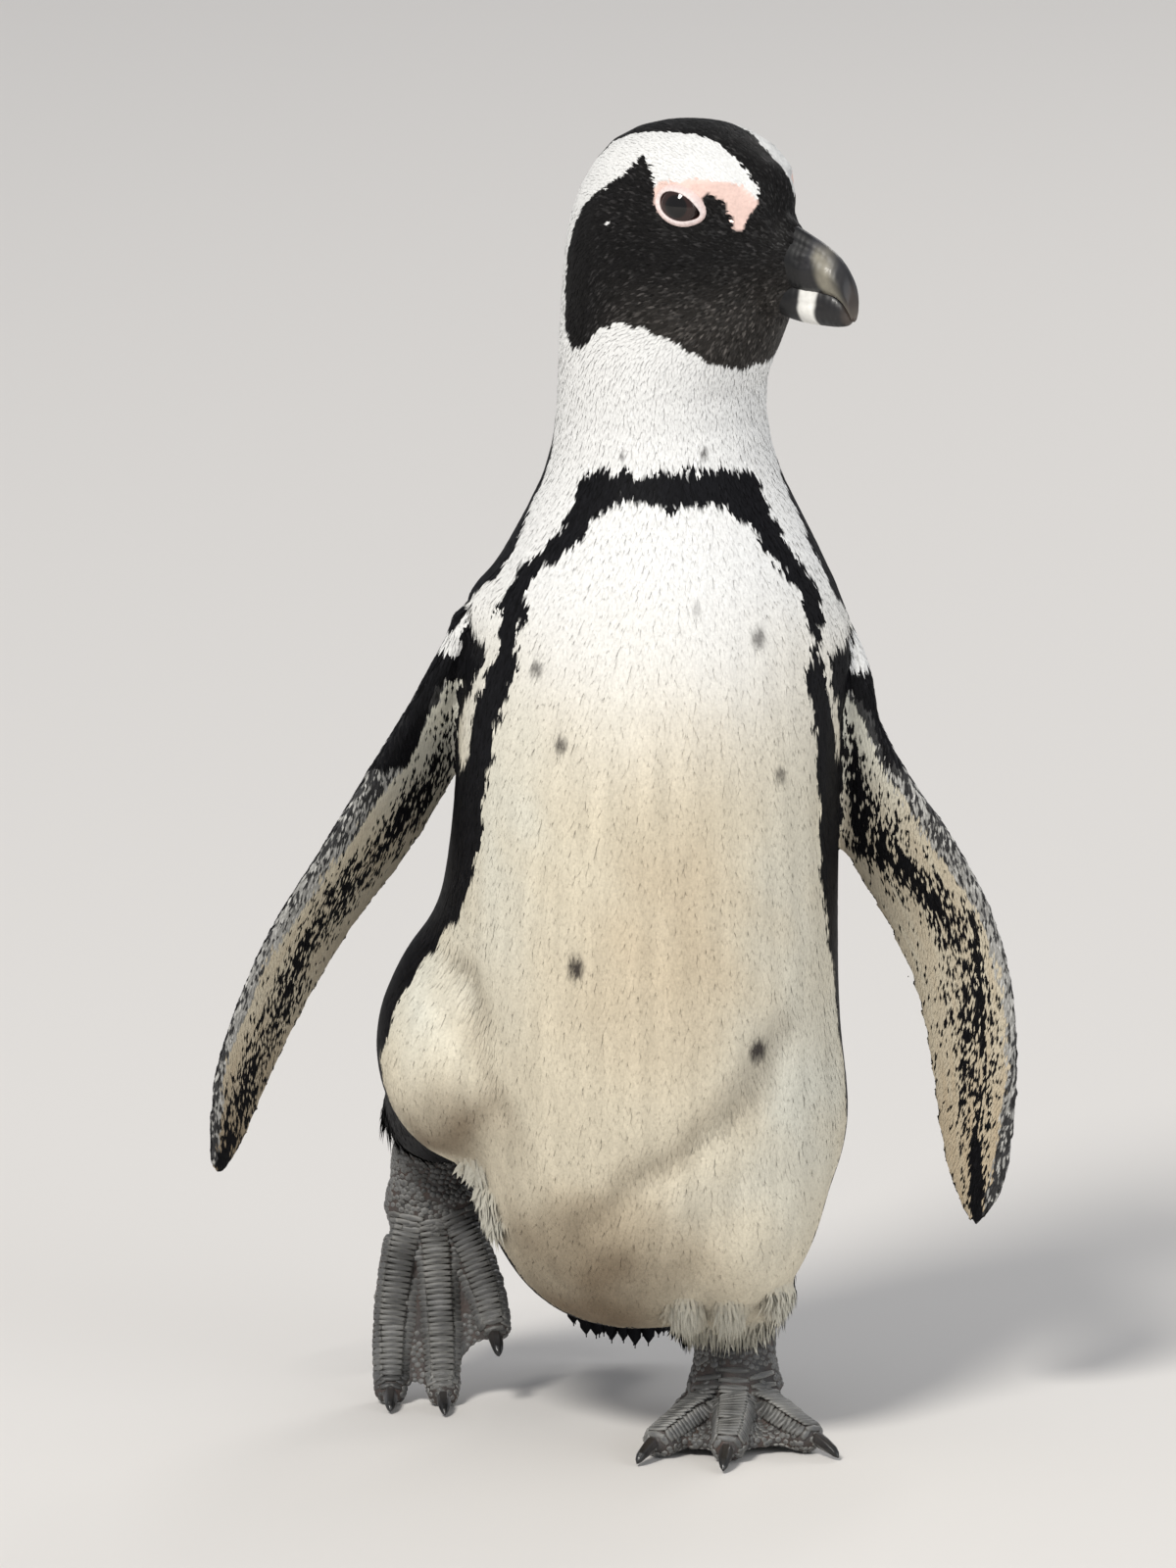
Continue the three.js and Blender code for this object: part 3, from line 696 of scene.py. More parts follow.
def flipperColour(points, normals, side, rng=None):
    # pale feathers in front, with a scaly dark rim and rows of dark dashes, and black ones behind
    marks = {name: rows[side] if isinstance(rows, dict) else rows for name, rows in flipperMarks.items()}
    share, _, face, _ = onFlipper(points, side)
    face = face * np.where(face[:, 1:2] > 0, -1, 1)
    under = np.sum(normals * face, 1)
    height = points[:, 2]
    local = np.stack([share * 28, height * 0.2, 0 * share], 1)
    noise = ripple(local, 2.6, 31 + side)
    own = rng.normal(size=len(points)) if rng is not None else ripple(local * 2, 1.6, 37)
    rim = share > table(marks["rimFrom"], height) + 0.05 * noise + 0.03 * own
    off = (share - table(marks["dashMiddle"], height)) / table(marks["dashSpread"], height)
    chance = table(marks["dashes"], height) * (1.15 * np.exp(-(off**2)) + 0.05)
    dash = 0.5 + 0.20 * noise + 0.27 * own < chance
    streak = np.abs(share) < table(marks["streakHalf"], height) + 0.04 * own
    streak &= height < marks["tipTop"]
    x, z = points[:, 0] + 0.5 * own, height + 0.7 * own
    shoulder = z > table(marks["creamTop"], x)
    dark = rim | dash | streak | (under < 0.10 + 0.06 * own)
    dark = np.where(shoulder, ~inOutline(x, z, marks["patch"]) | (normals[:, 1] > -0.1), dark)
    low = smooth(190, 100, height)
    colour = toned(shade["pale"], "cream", smooth(300, 240, height))
    colour = toned(colour, "tan", (0.2 + 0.15 * noise) * smooth(290, 230, height) + 0.45 * low)
    if side < 0:
        # the lower part of the right flipper turns browner
        colour = toned(colour, "earth", 0.5 * smooth(165, 105, height))
    colour = np.where((shoulder & (z > marks["patchFoot"]))[:, None], shade["white"] * 0.97, colour)
    # the rim is scaly and black; half way down the flipper most of its feathers are painted pale grey, as
    # painted highlight, and it is black at its very edge
    scaly = rim & ~shoulder & (under > 0.1)
    pale = (own < table(marks["rimHighlight"], height)) & (share < 0.95)
    black = np.where((scaly & pale)[:, None], shade["rimHighlight"], shade["black"])
    black = np.where((scaly & ~pale & (share < 0.97))[:, None], shade["rimDark"], black)
    return np.where(dark[:, None], black, colour), dark


# Finishes.
def setInputs(node, values):
    for name, value in values.items():
        node.inputs[name].default_value = value


def paintedFinish(name, dullWhite, dullBlack, grain, grainDepth, coat, specular):
    # colour from the piece's painted points, with fine mottling; dark parts may shine more
    material = bpy.data.materials.new(name)
    material.use_nodes = True
    nodes, links = material.node_tree.nodes, material.node_tree.links
    shader = nodes["Principled BSDF"]
    painted = nodes.new("ShaderNodeVertexColor")
    painted.layer_name = "tint"
    place = nodes.new("ShaderNodeTexCoord")
    mottle = nodes.new("ShaderNodeTexNoise")
    setInputs(mottle, {"Scale": grain, "Detail": 3})
    links.new(place.outputs["Object"], mottle.inputs["Vector"])
    tone = nodes.new("ShaderNodeMapRange")
    setInputs(tone, {"From Min": 0.3, "From Max": 0.7, "To Min": 0.90, "To Max": 1.04})
    links.new(mottle.outputs["Fac"], tone.inputs["Value"])
    mixed = nodes.new("ShaderNodeMix")
    mixed.data_type, mixed.blend_type = "RGBA", "MULTIPLY"
    setInputs(mixed, {"Factor": 1})
    links.new(painted.outputs["Color"], mixed.inputs["A"])
    links.new(tone.outputs["Result"], mixed.inputs["B"])
    links.new(mixed.outputs["Result"], shader.inputs["Base Color"])
    bright = nodes.new("ShaderNodeRGBToBW")
    links.new(painted.outputs["Color"], bright.inputs["Color"])
    dull = nodes.new("ShaderNodeMapRange")
    setInputs(dull, {"From Min": 0.02, "From Max": 0.35, "To Min": dullBlack, "To Max": dullWhite})
    links.new(bright.outputs["Val"], dull.inputs["Value"])
    links.new(dull.outputs["Result"], shader.inputs["Roughness"])
    if grainDepth:
        bump = nodes.new("ShaderNodeBump")
        setInputs(bump, {"Strength": 0.6, "Distance": grainDepth})
        links.new(mottle.outputs["Fac"], bump.inputs["Height"])
        links.new(bump.outputs["Normal"], shader.inputs["Normal"])
    setInputs(shader, {"Coat Weight": coat, "Specular IOR Level": specular})
    return material


# roughness of white and of black, grain across a metre, its depth in metres, clear coat and gloss
finishes = {
    "plumage": (0.8, 0.55, 900, 0, 0, 0.08),
    "skin": (0.62, 0.5, 700, 0.0004, 0, 0.3),
    "scaledSkin": (0.6, 0.42, 1400, 0.0002, 0, 0.5),
    "horn": (0.40, 0.42, 500, 0.0001, 0.08, 0.4),
    "eye": (0.08, 0.06, 300, 0, 0.2, 0.35),
    "bareSkin": (0.5, 0.5, 900, 0.0002, 0, 0.4),
    "claw": (0.5, 0.34, 900, 0.0001, 0.1, 0.5),
}
finishes = {name: paintedFinish(name, *values) for name, values in finishes.items()}


# Skin: one closed hide under the plumage, the legs and feet.
skinSettings = {
    "nodes": ["trunk", "neck", "head", "leg_left", "leg_right", "flipper_left", "flipper_right", "tail",
              "tarsus_left", "tarsus_right", "foot_left", "foot_right"],
    "fillers": ["eye_left", "eye_right"],  # these close the sockets, which are sculpted again
    "grown": 0.45,  # mm, to close the cuts between the nodes
    "voxel": 1.42,  # mm
    "evenRounds": 8,
    "bodyRounds": 22,
    "flipperShare": 0.8,  # of those rounds, on the flippers
    "meltRounds": 110,  # of plain smoothing, which sinks the thighs into the belly
    "thinRounds": 10,  # the same for the thin edges of the flippers
    "thinSink": 0.34,  # how far the flippers' skin lies under the solid, mm
    "pinkSink": 0.25,  # the same for the bare pink skin, and for the skin under the lids
    "lidSink": 2.4,
    "samples": 6000,  # points on each node, which tell what part of the bird a point belongs to
}
# How deep the coat is over the skin, and its feathers' spacing, length and width in mm, by height.
coatTable = [
    # height, depth, spacing, length, width
    (0, 0.48, 1.24, 9.6, 2.0),
    (330, 0.46, 1.22, 8.4, 1.95),
    (385, 0.46, 1.15, 6.8, 1.75),
    (425, 0.45, 1.07, 5.8, 1.5),
    (455, 0.40, 0.97, 4.6, 1.2),
    (480, 0.34, 0.88, 3.6, 1.02),
    (552, 0.34, 0.88, 4.0, 1.02),
]
flipperCoat = (0.30, 0.98, 4.3, 0.96)
# How much shallower, closer and shorter the coat is on the face.
faceCoat = {"depth": 0.45, "spacing": 0.08, "length": 0.38}
bareCoatDepth = 0.45
tailCoatDepth = (1.0, 0.9)  # at its root, and how much more at its end
bareParts = ("tarsus_left", "tarsus_right", "foot_left", "foot_right")
flippersBoth = tuple(flipperNodes.values())
# The brow and the feathered base of the bill, as eggs: middle ahead and up, half lengths ahead, aside and up.
faceEggs = [
    ((47.5, 495.0), (17.0, 12.5, 18.5)), ((46.0, 501.0), (16.5, 11.0, 15.5)),
    ((47.5, 484.0), (15.0, 10.5, 11.5)), ((36.0, 519.0), (15.5, 19.0, 19.0)),
]


def solidCopy(node, grown, mesh):
    # a CAD node's surface with its corners merged, grown by some mm
    copy = bmesh.new()
    copy.from_mesh(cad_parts[node].data)
    bmesh.ops.remove_doubles(copy, verts=copy.verts, dist=1e-5)
    for vert in copy.verts:
        vert.co += vert.normal * grown * mm
    copy.to_mesh(mesh)
    copy.free()
    return mesh


def buildSkin():
    whole = bpy.data.meshes.new("skin")
    parts = bmesh.new()
    for node in skinSettings["nodes"] + skinSettings["fillers"]:
        parts.from_mesh(solidCopy(node, skinSettings["grown"], whole))
    parts.to_mesh(whole)
    parts.free()
    skin = linked("skin", whole)
    for (ahead, height), (along, aside, up) in faceEggs:
        bpy.ops.mesh.primitive_uv_sphere_add(segments=32, ring_count=20, radius=1)
        egg = bpy.context.object
        x, y, z = pointsOf(egg).T
        setPoints(egg, toRow(headPoint(ahead + x * along, y * aside, height + z * up)))
        activate(skin)
        bpy.ops.object.join()
        skin.select_set(False)
    remeshed(skin, skinSettings["voxel"])
    evened(skin, skinSettings["evenRounds"])
    parts = nearestParts(toBird(pointsOf(skin)))
    body = isPart(parts, "trunk", "neck", "leg_left", "leg_right")
    flippers = isPart(parts, *flippersBoth)
    share = np.where(body, 1.0, flippers * skinSettings["flipperShare"])
    evened(skin, skinSettings["bodyRounds"], share=share)
    height = toBird(pointsOf(skin))[:, 2]
    melted(skin, skinSettings["meltRounds"], body * smooth(300, 240, height))
    sculptBody(skin, np.maximum(body, flippers * smooth(294, 312, height)))
    melted(skin, skinSettings["thinRounds"], flippers * smooth(322, 300, height))
    return skin, parts


def sculptBody(skin, body):
    # the swells and folds of bodyForms
    points, normals = toBird(pointsOf(skin)), normalsOf(skin)
    push = np.zeros(len(points))
    for (x, y, z), (alongX, alongY, alongZ), high in bodyForms["swells"]:
        push += high * np.exp(-(((points - (x, y, z)) / (alongX, alongY, alongZ)) ** 2).sum(1))
    for line, deep, wide in bodyForms["folds"]:
        push -= deep * np.exp(-((lineReach(points, line) / wide) ** 2)) * smooth(0, -15, points[:, 1])
    setPoints(skin, toRow(points + normals * (push * body)[:, None]))


def nearestParts(points):
    # which of the skin's nodes each point belongs to, as its number
    count = skinSettings["samples"]
    nodes = enumerate(skinSettings["nodes"])
    tree = pointTree(np.concatenate([solidPoints(node, count, 60 + i) for i, node in nodes]))
    return np.array([tree.find(p)[1] for p in points]) // count


def isPart(parts, *nodes):
    return np.isin(parts, [skinSettings["nodes"].index(node) for node in nodes])


def coatFields(points, parts):
    # depth, spacing, length and width of the coat at each point
    fields = np.array(table(coatTable, points[:, 2]))
    face = smooth(448, 462, points[:, 2]) * smooth(10, 42, inHead(points)[0])
    for row, name in enumerate(("depth", "spacing", "length")):
        fields[row] *= 1 - faceCoat[name] * face
    flipper = isPart(parts, *flippersBoth) * smooth(338, 292, points[:, 2])
    fields = blend(fields, np.array(flipperCoat)[:, None], flipper)
    fields[0] = np.where(isPart(parts, *bareParts), bareCoatDepth, fields[0])
    rootDepth, more = tailCoatDepth
    fields[0] = np.where(isPart(parts, "tail"), rootDepth + more * smooth(110, 80, points[:, 2]), fields[0])
    return fields


def coatLie(points, normals, parts):
    # the way the feathers lie: off the bill, down the neck and body, back under the belly, along the flippers
    height = points[:, 2]
    ahead = inHead(points)[0]
    off = points - headPoint(70.0, 0.0, 497.0)
    down = np.array([0.0, 0.05, -1.0])
    back = smooth(30, -45, ahead) * smooth(540, 480, height)
    low = smooth(478, 440, height)
    way = blend(unit(off), down, np.maximum(back * 0.75, low)[:, None])
    # the belly's feathers part a little from the keel, and turn back to the tail below
    side = np.clip((points[:, 0] - 4) / 80, -1, 1)
    way[:, 0] += 0.10 * side * smooth(420, 340, height) * (points[:, 1] < 20)
    way[:, 1] += smooth(150, 60, height) * 0.9
    for number, node in flipperNodes.items():
        _, across, _, along = onFlipper(points, number)
        wing = isPart(parts, node) * smooth(345, 300, height)
        way = blend(way, along - across * 0.30, wing[:, None])
    way -= normals * np.sum(way * normals, 1, keepdims=True)
    return unit(way)


def colourOf(points, normals, parts, rng=None):
    # the colour of the coat at each point, and whether it is dark or bare and pink there
    colour, dark, pink = coatColour(points, rng)
    for side, node in flipperNodes.items():
        here = isPart(parts, node)
        if here.any():
            colour[here], dark[here] = flipperColour(points[here], normals[here], side, rng)
            pink[here] = False
    return colour, dark, pink


skin, skinParts = buildSkin()
print("skin has", len(skin.data.polygons), "faces")
skinOuter = toBird(pointsOf(skin))
skinNormals = normalsOf(skin)
outerTree = surfaceTree(skinOuter, trianglesOf(skin))
print("skin is sorted by part")


# Eyes: ball, lids and the bare ring.
eyeSettings = {
    "gazeAhead": 0.30,  # how far the eye looks forward of straight aside
    "opening": (8.3, 5.5),  # half width and half height of the lids' opening, mm
    "tilt": -21.0,  # degrees; the corner towards the bill is the lower
    "corner": 0.14,  # how far that corner is drawn out
    "ring": (10.6, 7.9),  # half width and half height of the pale ring
    "radius": 11.5,  # of the ball, whose middle lies deeper in the head than the solid's
    "deeper": 2.7,
    "bulge": 0.25,  # of its middle
    "sunk": 3.5,  # how far the ball falls back under the lids
    "iris": 8.2,  # radii
    "pupil": 4.6,
    "pupilColour": (0.004, 0.0035, 0.0035),
    "irisColour": (0.026, 0.012, 0.010),
    "rimColour": (0.012, 0.008, 0.008),
    "lidSteps": 120,
    # share of the way from the opening to the ring's edge, and height over the ball or the plumage in mm
    "lidProfile": [(-0.35, -1.6), (-0.06, -0.25), (0.0, 0.30), (0.14, 0.75), (0.38, 0.95), (0.65, 0.85),
                   (0.88, 0.5), (1.02, -0.1), (1.14, -1.0), (1.16, -2.4), (0.5, -3.0)],
    "lidInner": (0.80, 0.70, 0.68),
    "lidOuter": (0.82, 0.64, 0.60),
    "lidEdge": (0.16, 0.09, 0.08),
}


def eyeFrame(side):
    # middle, forward, up and outward axes of an eye, side 1 for the bird's left
    middle = headPoint(eyeAhead, eyeAside * side, eyeHeight)
    out = unit(eyeSettings["gazeAhead"] * lookDir + side * leftDir + np.array([0, 0, 0.05]))
    up = unit(np.array([0, 0, 1.0]) - out * out[2])
    return middle, np.cross(up, out) * -side, up, out


def lidReach(angle, wide, tall, corner):
    # how far a tilted oval with a drawn-out corner reaches at an angle round the eye
    tilt = math.radians(eyeSettings["tilt"])
    turned = angle - tilt
    reach = 1 / np.sqrt((np.cos(turned) / wide) ** 2 + (np.sin(turned) / tall) ** 2)
    off = np.degrees((turned + math.pi) % (2 * math.pi) - math.pi)
    return reach * (1 + corner * np.exp(-((off / 20) ** 2)))


def eyeShare(points, side):
    # how far a point is from the eye's middle, as a share of the ring's edge, and whether it's on that side
    middle, ahead, up, out = eyeFrame(side)
    off = points - middle
    across, above, depth = off @ ahead, off @ up, off @ out
    angle = np.arctan2(above, across)
    share = np.hypot(across, above) / lidReach(angle, *eyeSettings["ring"], 0.05)
    return share, depth > -2


def shapeSkin():
    # sinks the skin under the coat, and paints it like the coat over it or as bare skin
    points, normals = skinOuter.copy(), skinNormals
    depth = coatFields(points, skinParts)[0]
    colour, _, pink = colourOf(points, normals, skinParts)
    depth = np.where(pink, skinSettings["pinkSink"], depth)
    for side in (1, -1):
        share, near = eyeShare(points, side)
        depth = blend(depth, np.where(near, skinSettings["lidSink"], depth), smooth(0.9, 0.68, share))
    edges, summed = neighboursOf(skin)
    for _ in range(3):
        depth = (summed(depth) + depth) / (edges + 1)
    thin = isPart(skinParts, *flippersBoth) * smooth(338, 300, points[:, 2])
    points -= normals * blend(depth + skinSettings["grown"], skinSettings["thinSink"], thin)[:, None]
    bare = isPart(skinParts, *bareParts)
    tone = ripple(points, 4, 71)[:, None]
    leather = blend(shade["scale"] * 0.55, shade["web"], 0.45 + 0.35 * tone)
    colour = np.where(bare[:, None], leather, colour * 0.95)
    colour = np.where(pink[:, None], shade["pink"] * (1 + 0.05 * tone), colour)
    setPoints(skin, toRow(points))
    paint(skin, colour)
    return points


skinPoints = shapeSkin()
finishPiece(skin, "plumage", "skin", skinSettings["nodes"])
print("skin is shaped and painted")


def addEye(side):
    node = "eye_left" if side > 0 else "eye_right"
    middle, ahead, up, out = eyeFrame(side)
    radius = eyeSettings["radius"]
    centre = middle - out * eyeSettings["deeper"]
    bpy.ops.mesh.primitive_uv_sphere_add(segments=72, ring_count=48, radius=radius)
    ball = bpy.context.object
    ball.name = ball.data.name = node + "_ball"
    points = pointsOf(ball)
    outward = np.clip(points[:, 2] / radius, -1, 1)
    points += unit(points) * (eyeSettings["bulge"] * smooth(0.90, 1.0, outward))[:, None]
    points[:, 2] -= eyeSettings["sunk"] * smooth(0.62, 0.86, np.sqrt(1 - outward**2)) * (outward > 0)
    setPoints(ball, toRow(centre + points[:, :1] * ahead * side + points[:, 1:2] * up + points[:, 2:] * out))
    bpy.ops.object.shade_smooth()
    off = radius * np.sqrt(np.maximum(1 - outward**2, 0)) + 20 * (outward < 0)
    pupil, iris, rim = (np.array(eyeSettings[name + "Colour"]) for name in ("pupil", "iris", "rim"))
    colours = blend(pupil, iris, smooth(-0.25, 0.25, off - eyeSettings["pupil"])[:, None])
    paint(ball, blend(colours, rim, smooth(-1.2, 0.2, off - eyeSettings["iris"])[:, None]))
    finishPiece(ball, "eye", "eye", [node])
    ball.select_set(False)


def addLids(side):
    # a soft pale ring round the opening, from the ball to under the plumage
    middle, ahead, up, out = eyeFrame(side)
    radius = eyeSettings["radius"]
    around = np.linspace(0, 2 * math.pi, eyeSettings["lidSteps"], endpoint=False)
    inner = lidReach(around, *eyeSettings["opening"], eyeSettings["corner"])
    outer = lidReach(around, *eyeSettings["ring"], 0.06)
    rows = []
    for share, lift in eyeSettings["lidProfile"]:
        reach = inner + (outer - inner) * share
        across, above = np.cos(around) * reach, np.sin(around) * reach
        onBall = np.sqrt(np.maximum(radius**2 - across**2 - above**2, 0)) - eyeSettings["deeper"]
        starts = middle + across[:, None] * ahead + above[:, None] * up + out * 40
        onSkin = np.array([40 - outerTree.ray_cast(Vector(p), Vector(-out))[3] for p in starts])
        wrinkle = 0.10 * np.sin(around * 23) * (0.1 < share < 0.95) + 0.06 * np.sin(around * 41 + 1)
        height = blend(onBall, onSkin - 0.3, smooth(0.0, 0.8, share)) + lift + wrinkle * (lift > 0)
        rows.append(middle + across[:, None] * ahead + above[:, None] * up + height[:, None] * out)
    count, steps = len(rows), len(around)
    points = np.concatenate(rows)
    i, j = np.meshgrid(np.arange(count), np.arange(steps), indexing="ij")
    here, there = i * steps, (i + 1) % count * steps
    nextStep = (j + 1) % steps
    faces = np.stack([here + j, here + nextStep, there + nextStep, there + j], -1)
    if side < 0:
        faces = faces[..., ::-1]
    lids = meshFrom("eyelids_left" if side > 0 else "eyelids_right", toRow(points), faces, 4)
    share = np.repeat([row[0] for row in eyeSettings["lidProfile"]], steps)[:, None]
    inside, outside, edge = (np.array(eyeSettings[name]) for name in ("lidInner", "lidOuter", "lidEdge"))
    colours = blend(inside, outside, smooth(0.1, 1.0, share))
    colours = blend(colours, edge, smooth(0.08, -0.05, share))
    paint(lids, colours + ripple(points, 2.5, 81)[:, None] * 0.05)
    finishPiece(lids, "plumage", "bareSkin")


for side in (1, -1):
    addEye(side)
    addLids(side)
print("eyes and lids are in")


# The coat: where feathers root.
def unwrapFor(chosen):
    # an unwrap of the skin under some of the coat: triangles of a plain copy, their map, and their tree
    faces = trianglesOf(skin)
    faces = faces[chosen[faces].any(1)]
    used = np.unique(faces)
    number = np.zeros(len(skinPoints), np.int32)
    number[used] = np.arange(len(used))
    copy = meshFrom("unwrap", toRow(skinPoints[used]), number[faces])
    thin = copy.modifiers.new("thin", "DECIMATE")
    thin.ratio = min(1.0, 5000 / len(faces))
    applyModifiers(copy)
    activate(copy)
    bpy.ops.object.mode_set(mode="EDIT")
    bpy.ops.mesh.select_all(action="SELECT")
    bpy.ops.uv.smart_project(angle_limit=math.radians(60), island_margin=0.006)
    bpy.ops.object.mode_set(mode="OBJECT")
    corners = trianglesOf(copy)
    loops = np.zeros(len(copy.data.loops) * 2, np.float32)
    copy.data.uv_layers.active.data.foreach_get("uv", loops)
    loops = loops.reshape(-1, 2)
    loopsOfFace = np.zeros(len(copy.data.loop_triangles) * 3, np.int32)
    copy.data.loop_triangles.foreach_get("loops", loopsOfFace)
    maps = loops[loopsOfFace.reshape(-1, 3)]
    points = toBird(pointsOf(copy))
    bpy.data.objects.remove(copy)
    return points[corners], maps, surfaceTree(points, corners)


def mapPlaces(roots, unwrap):
    # where each root lies on the unwrap
    corners, maps, tree = unwrap
    found = [tree.find_nearest(Vector(p)) for p in roots]
    face = np.array([f[2] for f in found])
    near = np.array([tuple(f[0]) for f in found])
    a, b, c = (corners[face, i] for i in range(3))
    whole = np.cross(b - a, c - a)
    size = np.maximum(np.sum(whole * whole, 1), 1e-12)
    v = np.sum(np.cross(near - a, c - a) * whole, 1) / size
    w = np.sum(np.cross(b - a, near - a) * whole, 1) / size
    v, w = np.clip(v, 0, 1)[:, None], np.clip(w, 0, 1)[:, None]
    return maps[face, 0] * (1 - v - w) + maps[face, 1] * v + maps[face, 2] * w


def scatterRoots(weight, spacing, crowd, seed):
    # points over the skin at about spacing from each other: place, normal and nearest skin point of each
    faces = trianglesOf(skin)
    a, b, c = (skinPoints[faces[:, i]] for i in range(3))
    areas = np.linalg.norm(np.cross(b - a, c - a), axis=1) / 2
    density = weight[faces].mean(1) / spacing[faces].mean(1) ** 2
    chance = areas * density
    count = int(chance.sum() * crowd)
    pick, u, v = drawnOnTriangles(np.random.default_rng(seed), chance, count)
    shares = np.stack([1 - u - v, u, v], 1)
    places = np.einsum("ij,ijk->ik", shares, skinPoints[faces[pick]])
    near = faces[pick, shares.argmax(1)]
    apart = spacing[near]
    tree = pointTree(places)
    free = np.ones(count, bool)
    kept = []
    for i in range(count):
        if free[i]:
            kept.append(i)
            for _, j, _ in tree.find_range(places[i], apart[i]):
                free[j] = False
    kept = np.array(kept)
    normals = unit(np.einsum("ij,ijk->ik", shares[kept], skinFinalNormals[faces[pick[kept]]]))
    return places[kept], normals, near[kept]


skinFinalNormals = normalsOf(skin)
finalTree = surfaceTree(skinPoints, trianglesOf(skin))

# A vane is a closed leaf with a low ridge: rows of left, right and ridge corners, then the tip.
vaneRows = [
    # share along, share of the half width, ridge, and height over the skin as a share of the coat's depth
    (0.0, 0.55, 0.7, -0.15),
    (0.5, 1.0, 1.0, 0.72),
]
vaneFaces = [
    (0, 3, 5), (0, 5, 2), (1, 2, 5), (1, 5, 4), (0, 1, 4), (0, 4, 3), (0, 2, 1),
    (4, 5, 6), (5, 3, 6), (3, 4, 6),
]
vanePatch = np.array(
    [(-0.5, 0.0), (0.5, 0.0), (0.0, 0.12), (-0.5, 0.55), (0.5, 0.55), (0.0, 0.62), (0.0, 1.0)]
)
vaneTones = np.array([0.95, 0.95, 0.97, 0.99, 0.99, 1.02, 1.0])
patchSize = 0.003  # of a feather or scale on the map


def laidOn(roots, normals, lie, along, lift, free):
    # points some way along feathers: laid over the skin, or straight out where the feathers are free
    straight = roots + lie * along[:, None]
    found = map(finalTree.find_nearest, map(Vector, straight))
    laid = np.array([[*place, *normal] for place, normal, _, _ in found])
    onSkin = laid[:, :3] + unit(laid[:, 3:] + normals) * lift[:, None]
    return blend(onSkin, straight + normals * lift[:, None], free[:, None])


def addVanes(name, places, roots, normals, lie, length, width, depth, free, colour):
    # each vane is laid on the skin along its length, but free ones stand off it
    count = len(roots)
    side = np.cross(normals, lie)
    corners = np.zeros((count, 7, 3))
    for row, (along, wide, ridge, lift) in enumerate(vaneRows):
        spot = laidOn(roots, normals, lie, length * along, depth * lift, free)
        half = side * (width * wide / 2)[:, None]
        corners[:, row * 3] = spot - half
        corners[:, row * 3 + 1] = spot + half
        corners[:, row * 3 + 2] = spot + normals * (width * coatSettings["ridge"] * ridge)[:, None]
    corners[:, 6] = laidOn(roots, normals, lie, length, depth, free)
    faces = np.arange(count)[:, None, None] * 7 + np.array(vaneFaces)
    piece = meshFrom(name, toRow(corners.reshape(-1, 3)), faces)
    # normals lean towards the body's own, so that light falls over the coat as one soft surface
    own = normalsOf(piece).reshape(count, 7, 3)
    soft = unit(blend(own, normals[:, None], coatSettings["softness"]))
    piece.data.normals_split_custom_set_from_vertices(soft.reshape(-1, 3))
    tint = (colour[:, [0, 0, 0, 0, 0, 0, 1]] * vaneTones[None, :, None]).reshape(-1, 3)
    paint(piece, toned(tint, "spot", spotShade(corners.reshape(-1, 3))))
    mapPatches(piece, (places[:, None] + vanePatch * patchSize).reshape(-1, 2), faces)
    return piece


coatSettings = {
    "crowd": 4.5,  # how many places are tried for each feather
    "swing": 7.0,  # degrees that single feathers turn from the lie
    "flipperSwing": 0.45,  # share of that on the flippers
    "vary": 0.14,  # how much their length and depth vary
    "varyDark": 0.22,  # how much the tone of single feathers varies, in the black and in the white
    "varyWhite": 0.018,
    # loose tufts: x, height and reach
    "fluff": [(-68, 119, 7.0), (-63, 107, 7.0), (-59, 97, 6.0), (20, 60, 10.0), (38, 60, 9.0), (59, 64, 9.0)],
    "hem": 15.0,  # how far up the fluffy edge over the bare legs reaches, mm
    "hemDepth": (2.4, 1.3),  # how far its feathers stand off, and how much that varies, mm
    # heights where the coat is parted into pieces: in front from the head down, then behind
    "frontParts": (455, 385, 262, 150),
    "backParts": (235, 125),
    "shownAt": (0.66, 0.92),  # where along a feather its lower half and tip take the plumage's colour
    "shownOnFlippers": 0.82,
    "ridge": 0.07,  # height of a vane's middle ridge, as a share of its width
    "softness": 0.90,  # 1 shades the coat like the body under it, 0 like single feathers
}


def hemShare(roots, parts):
    # 1 where the plumage ends over the bare legs, and 0 further up
    tree = pointTree(np.concatenate([solidPoints("tarsus_" + side, 3000, 70) for side in ("left", "right")]))
    share = np.zeros(len(roots))
    for i in np.flatnonzero((roots[:, 2] < 160) & ~isPart(parts, "tail")):
        share[i] = smooth(coatSettings["hem"], 3.0, tree.find(roots[i])[2])
    for x, z, reach in coatSettings["fluff"]:
        away = np.hypot(roots[:, 0] - x, roots[:, 2] - z) / reach
        share = np.maximum(share, smooth(1.0, 0.4, away) * (np.abs(roots[:, 1]) < 45))
    return share


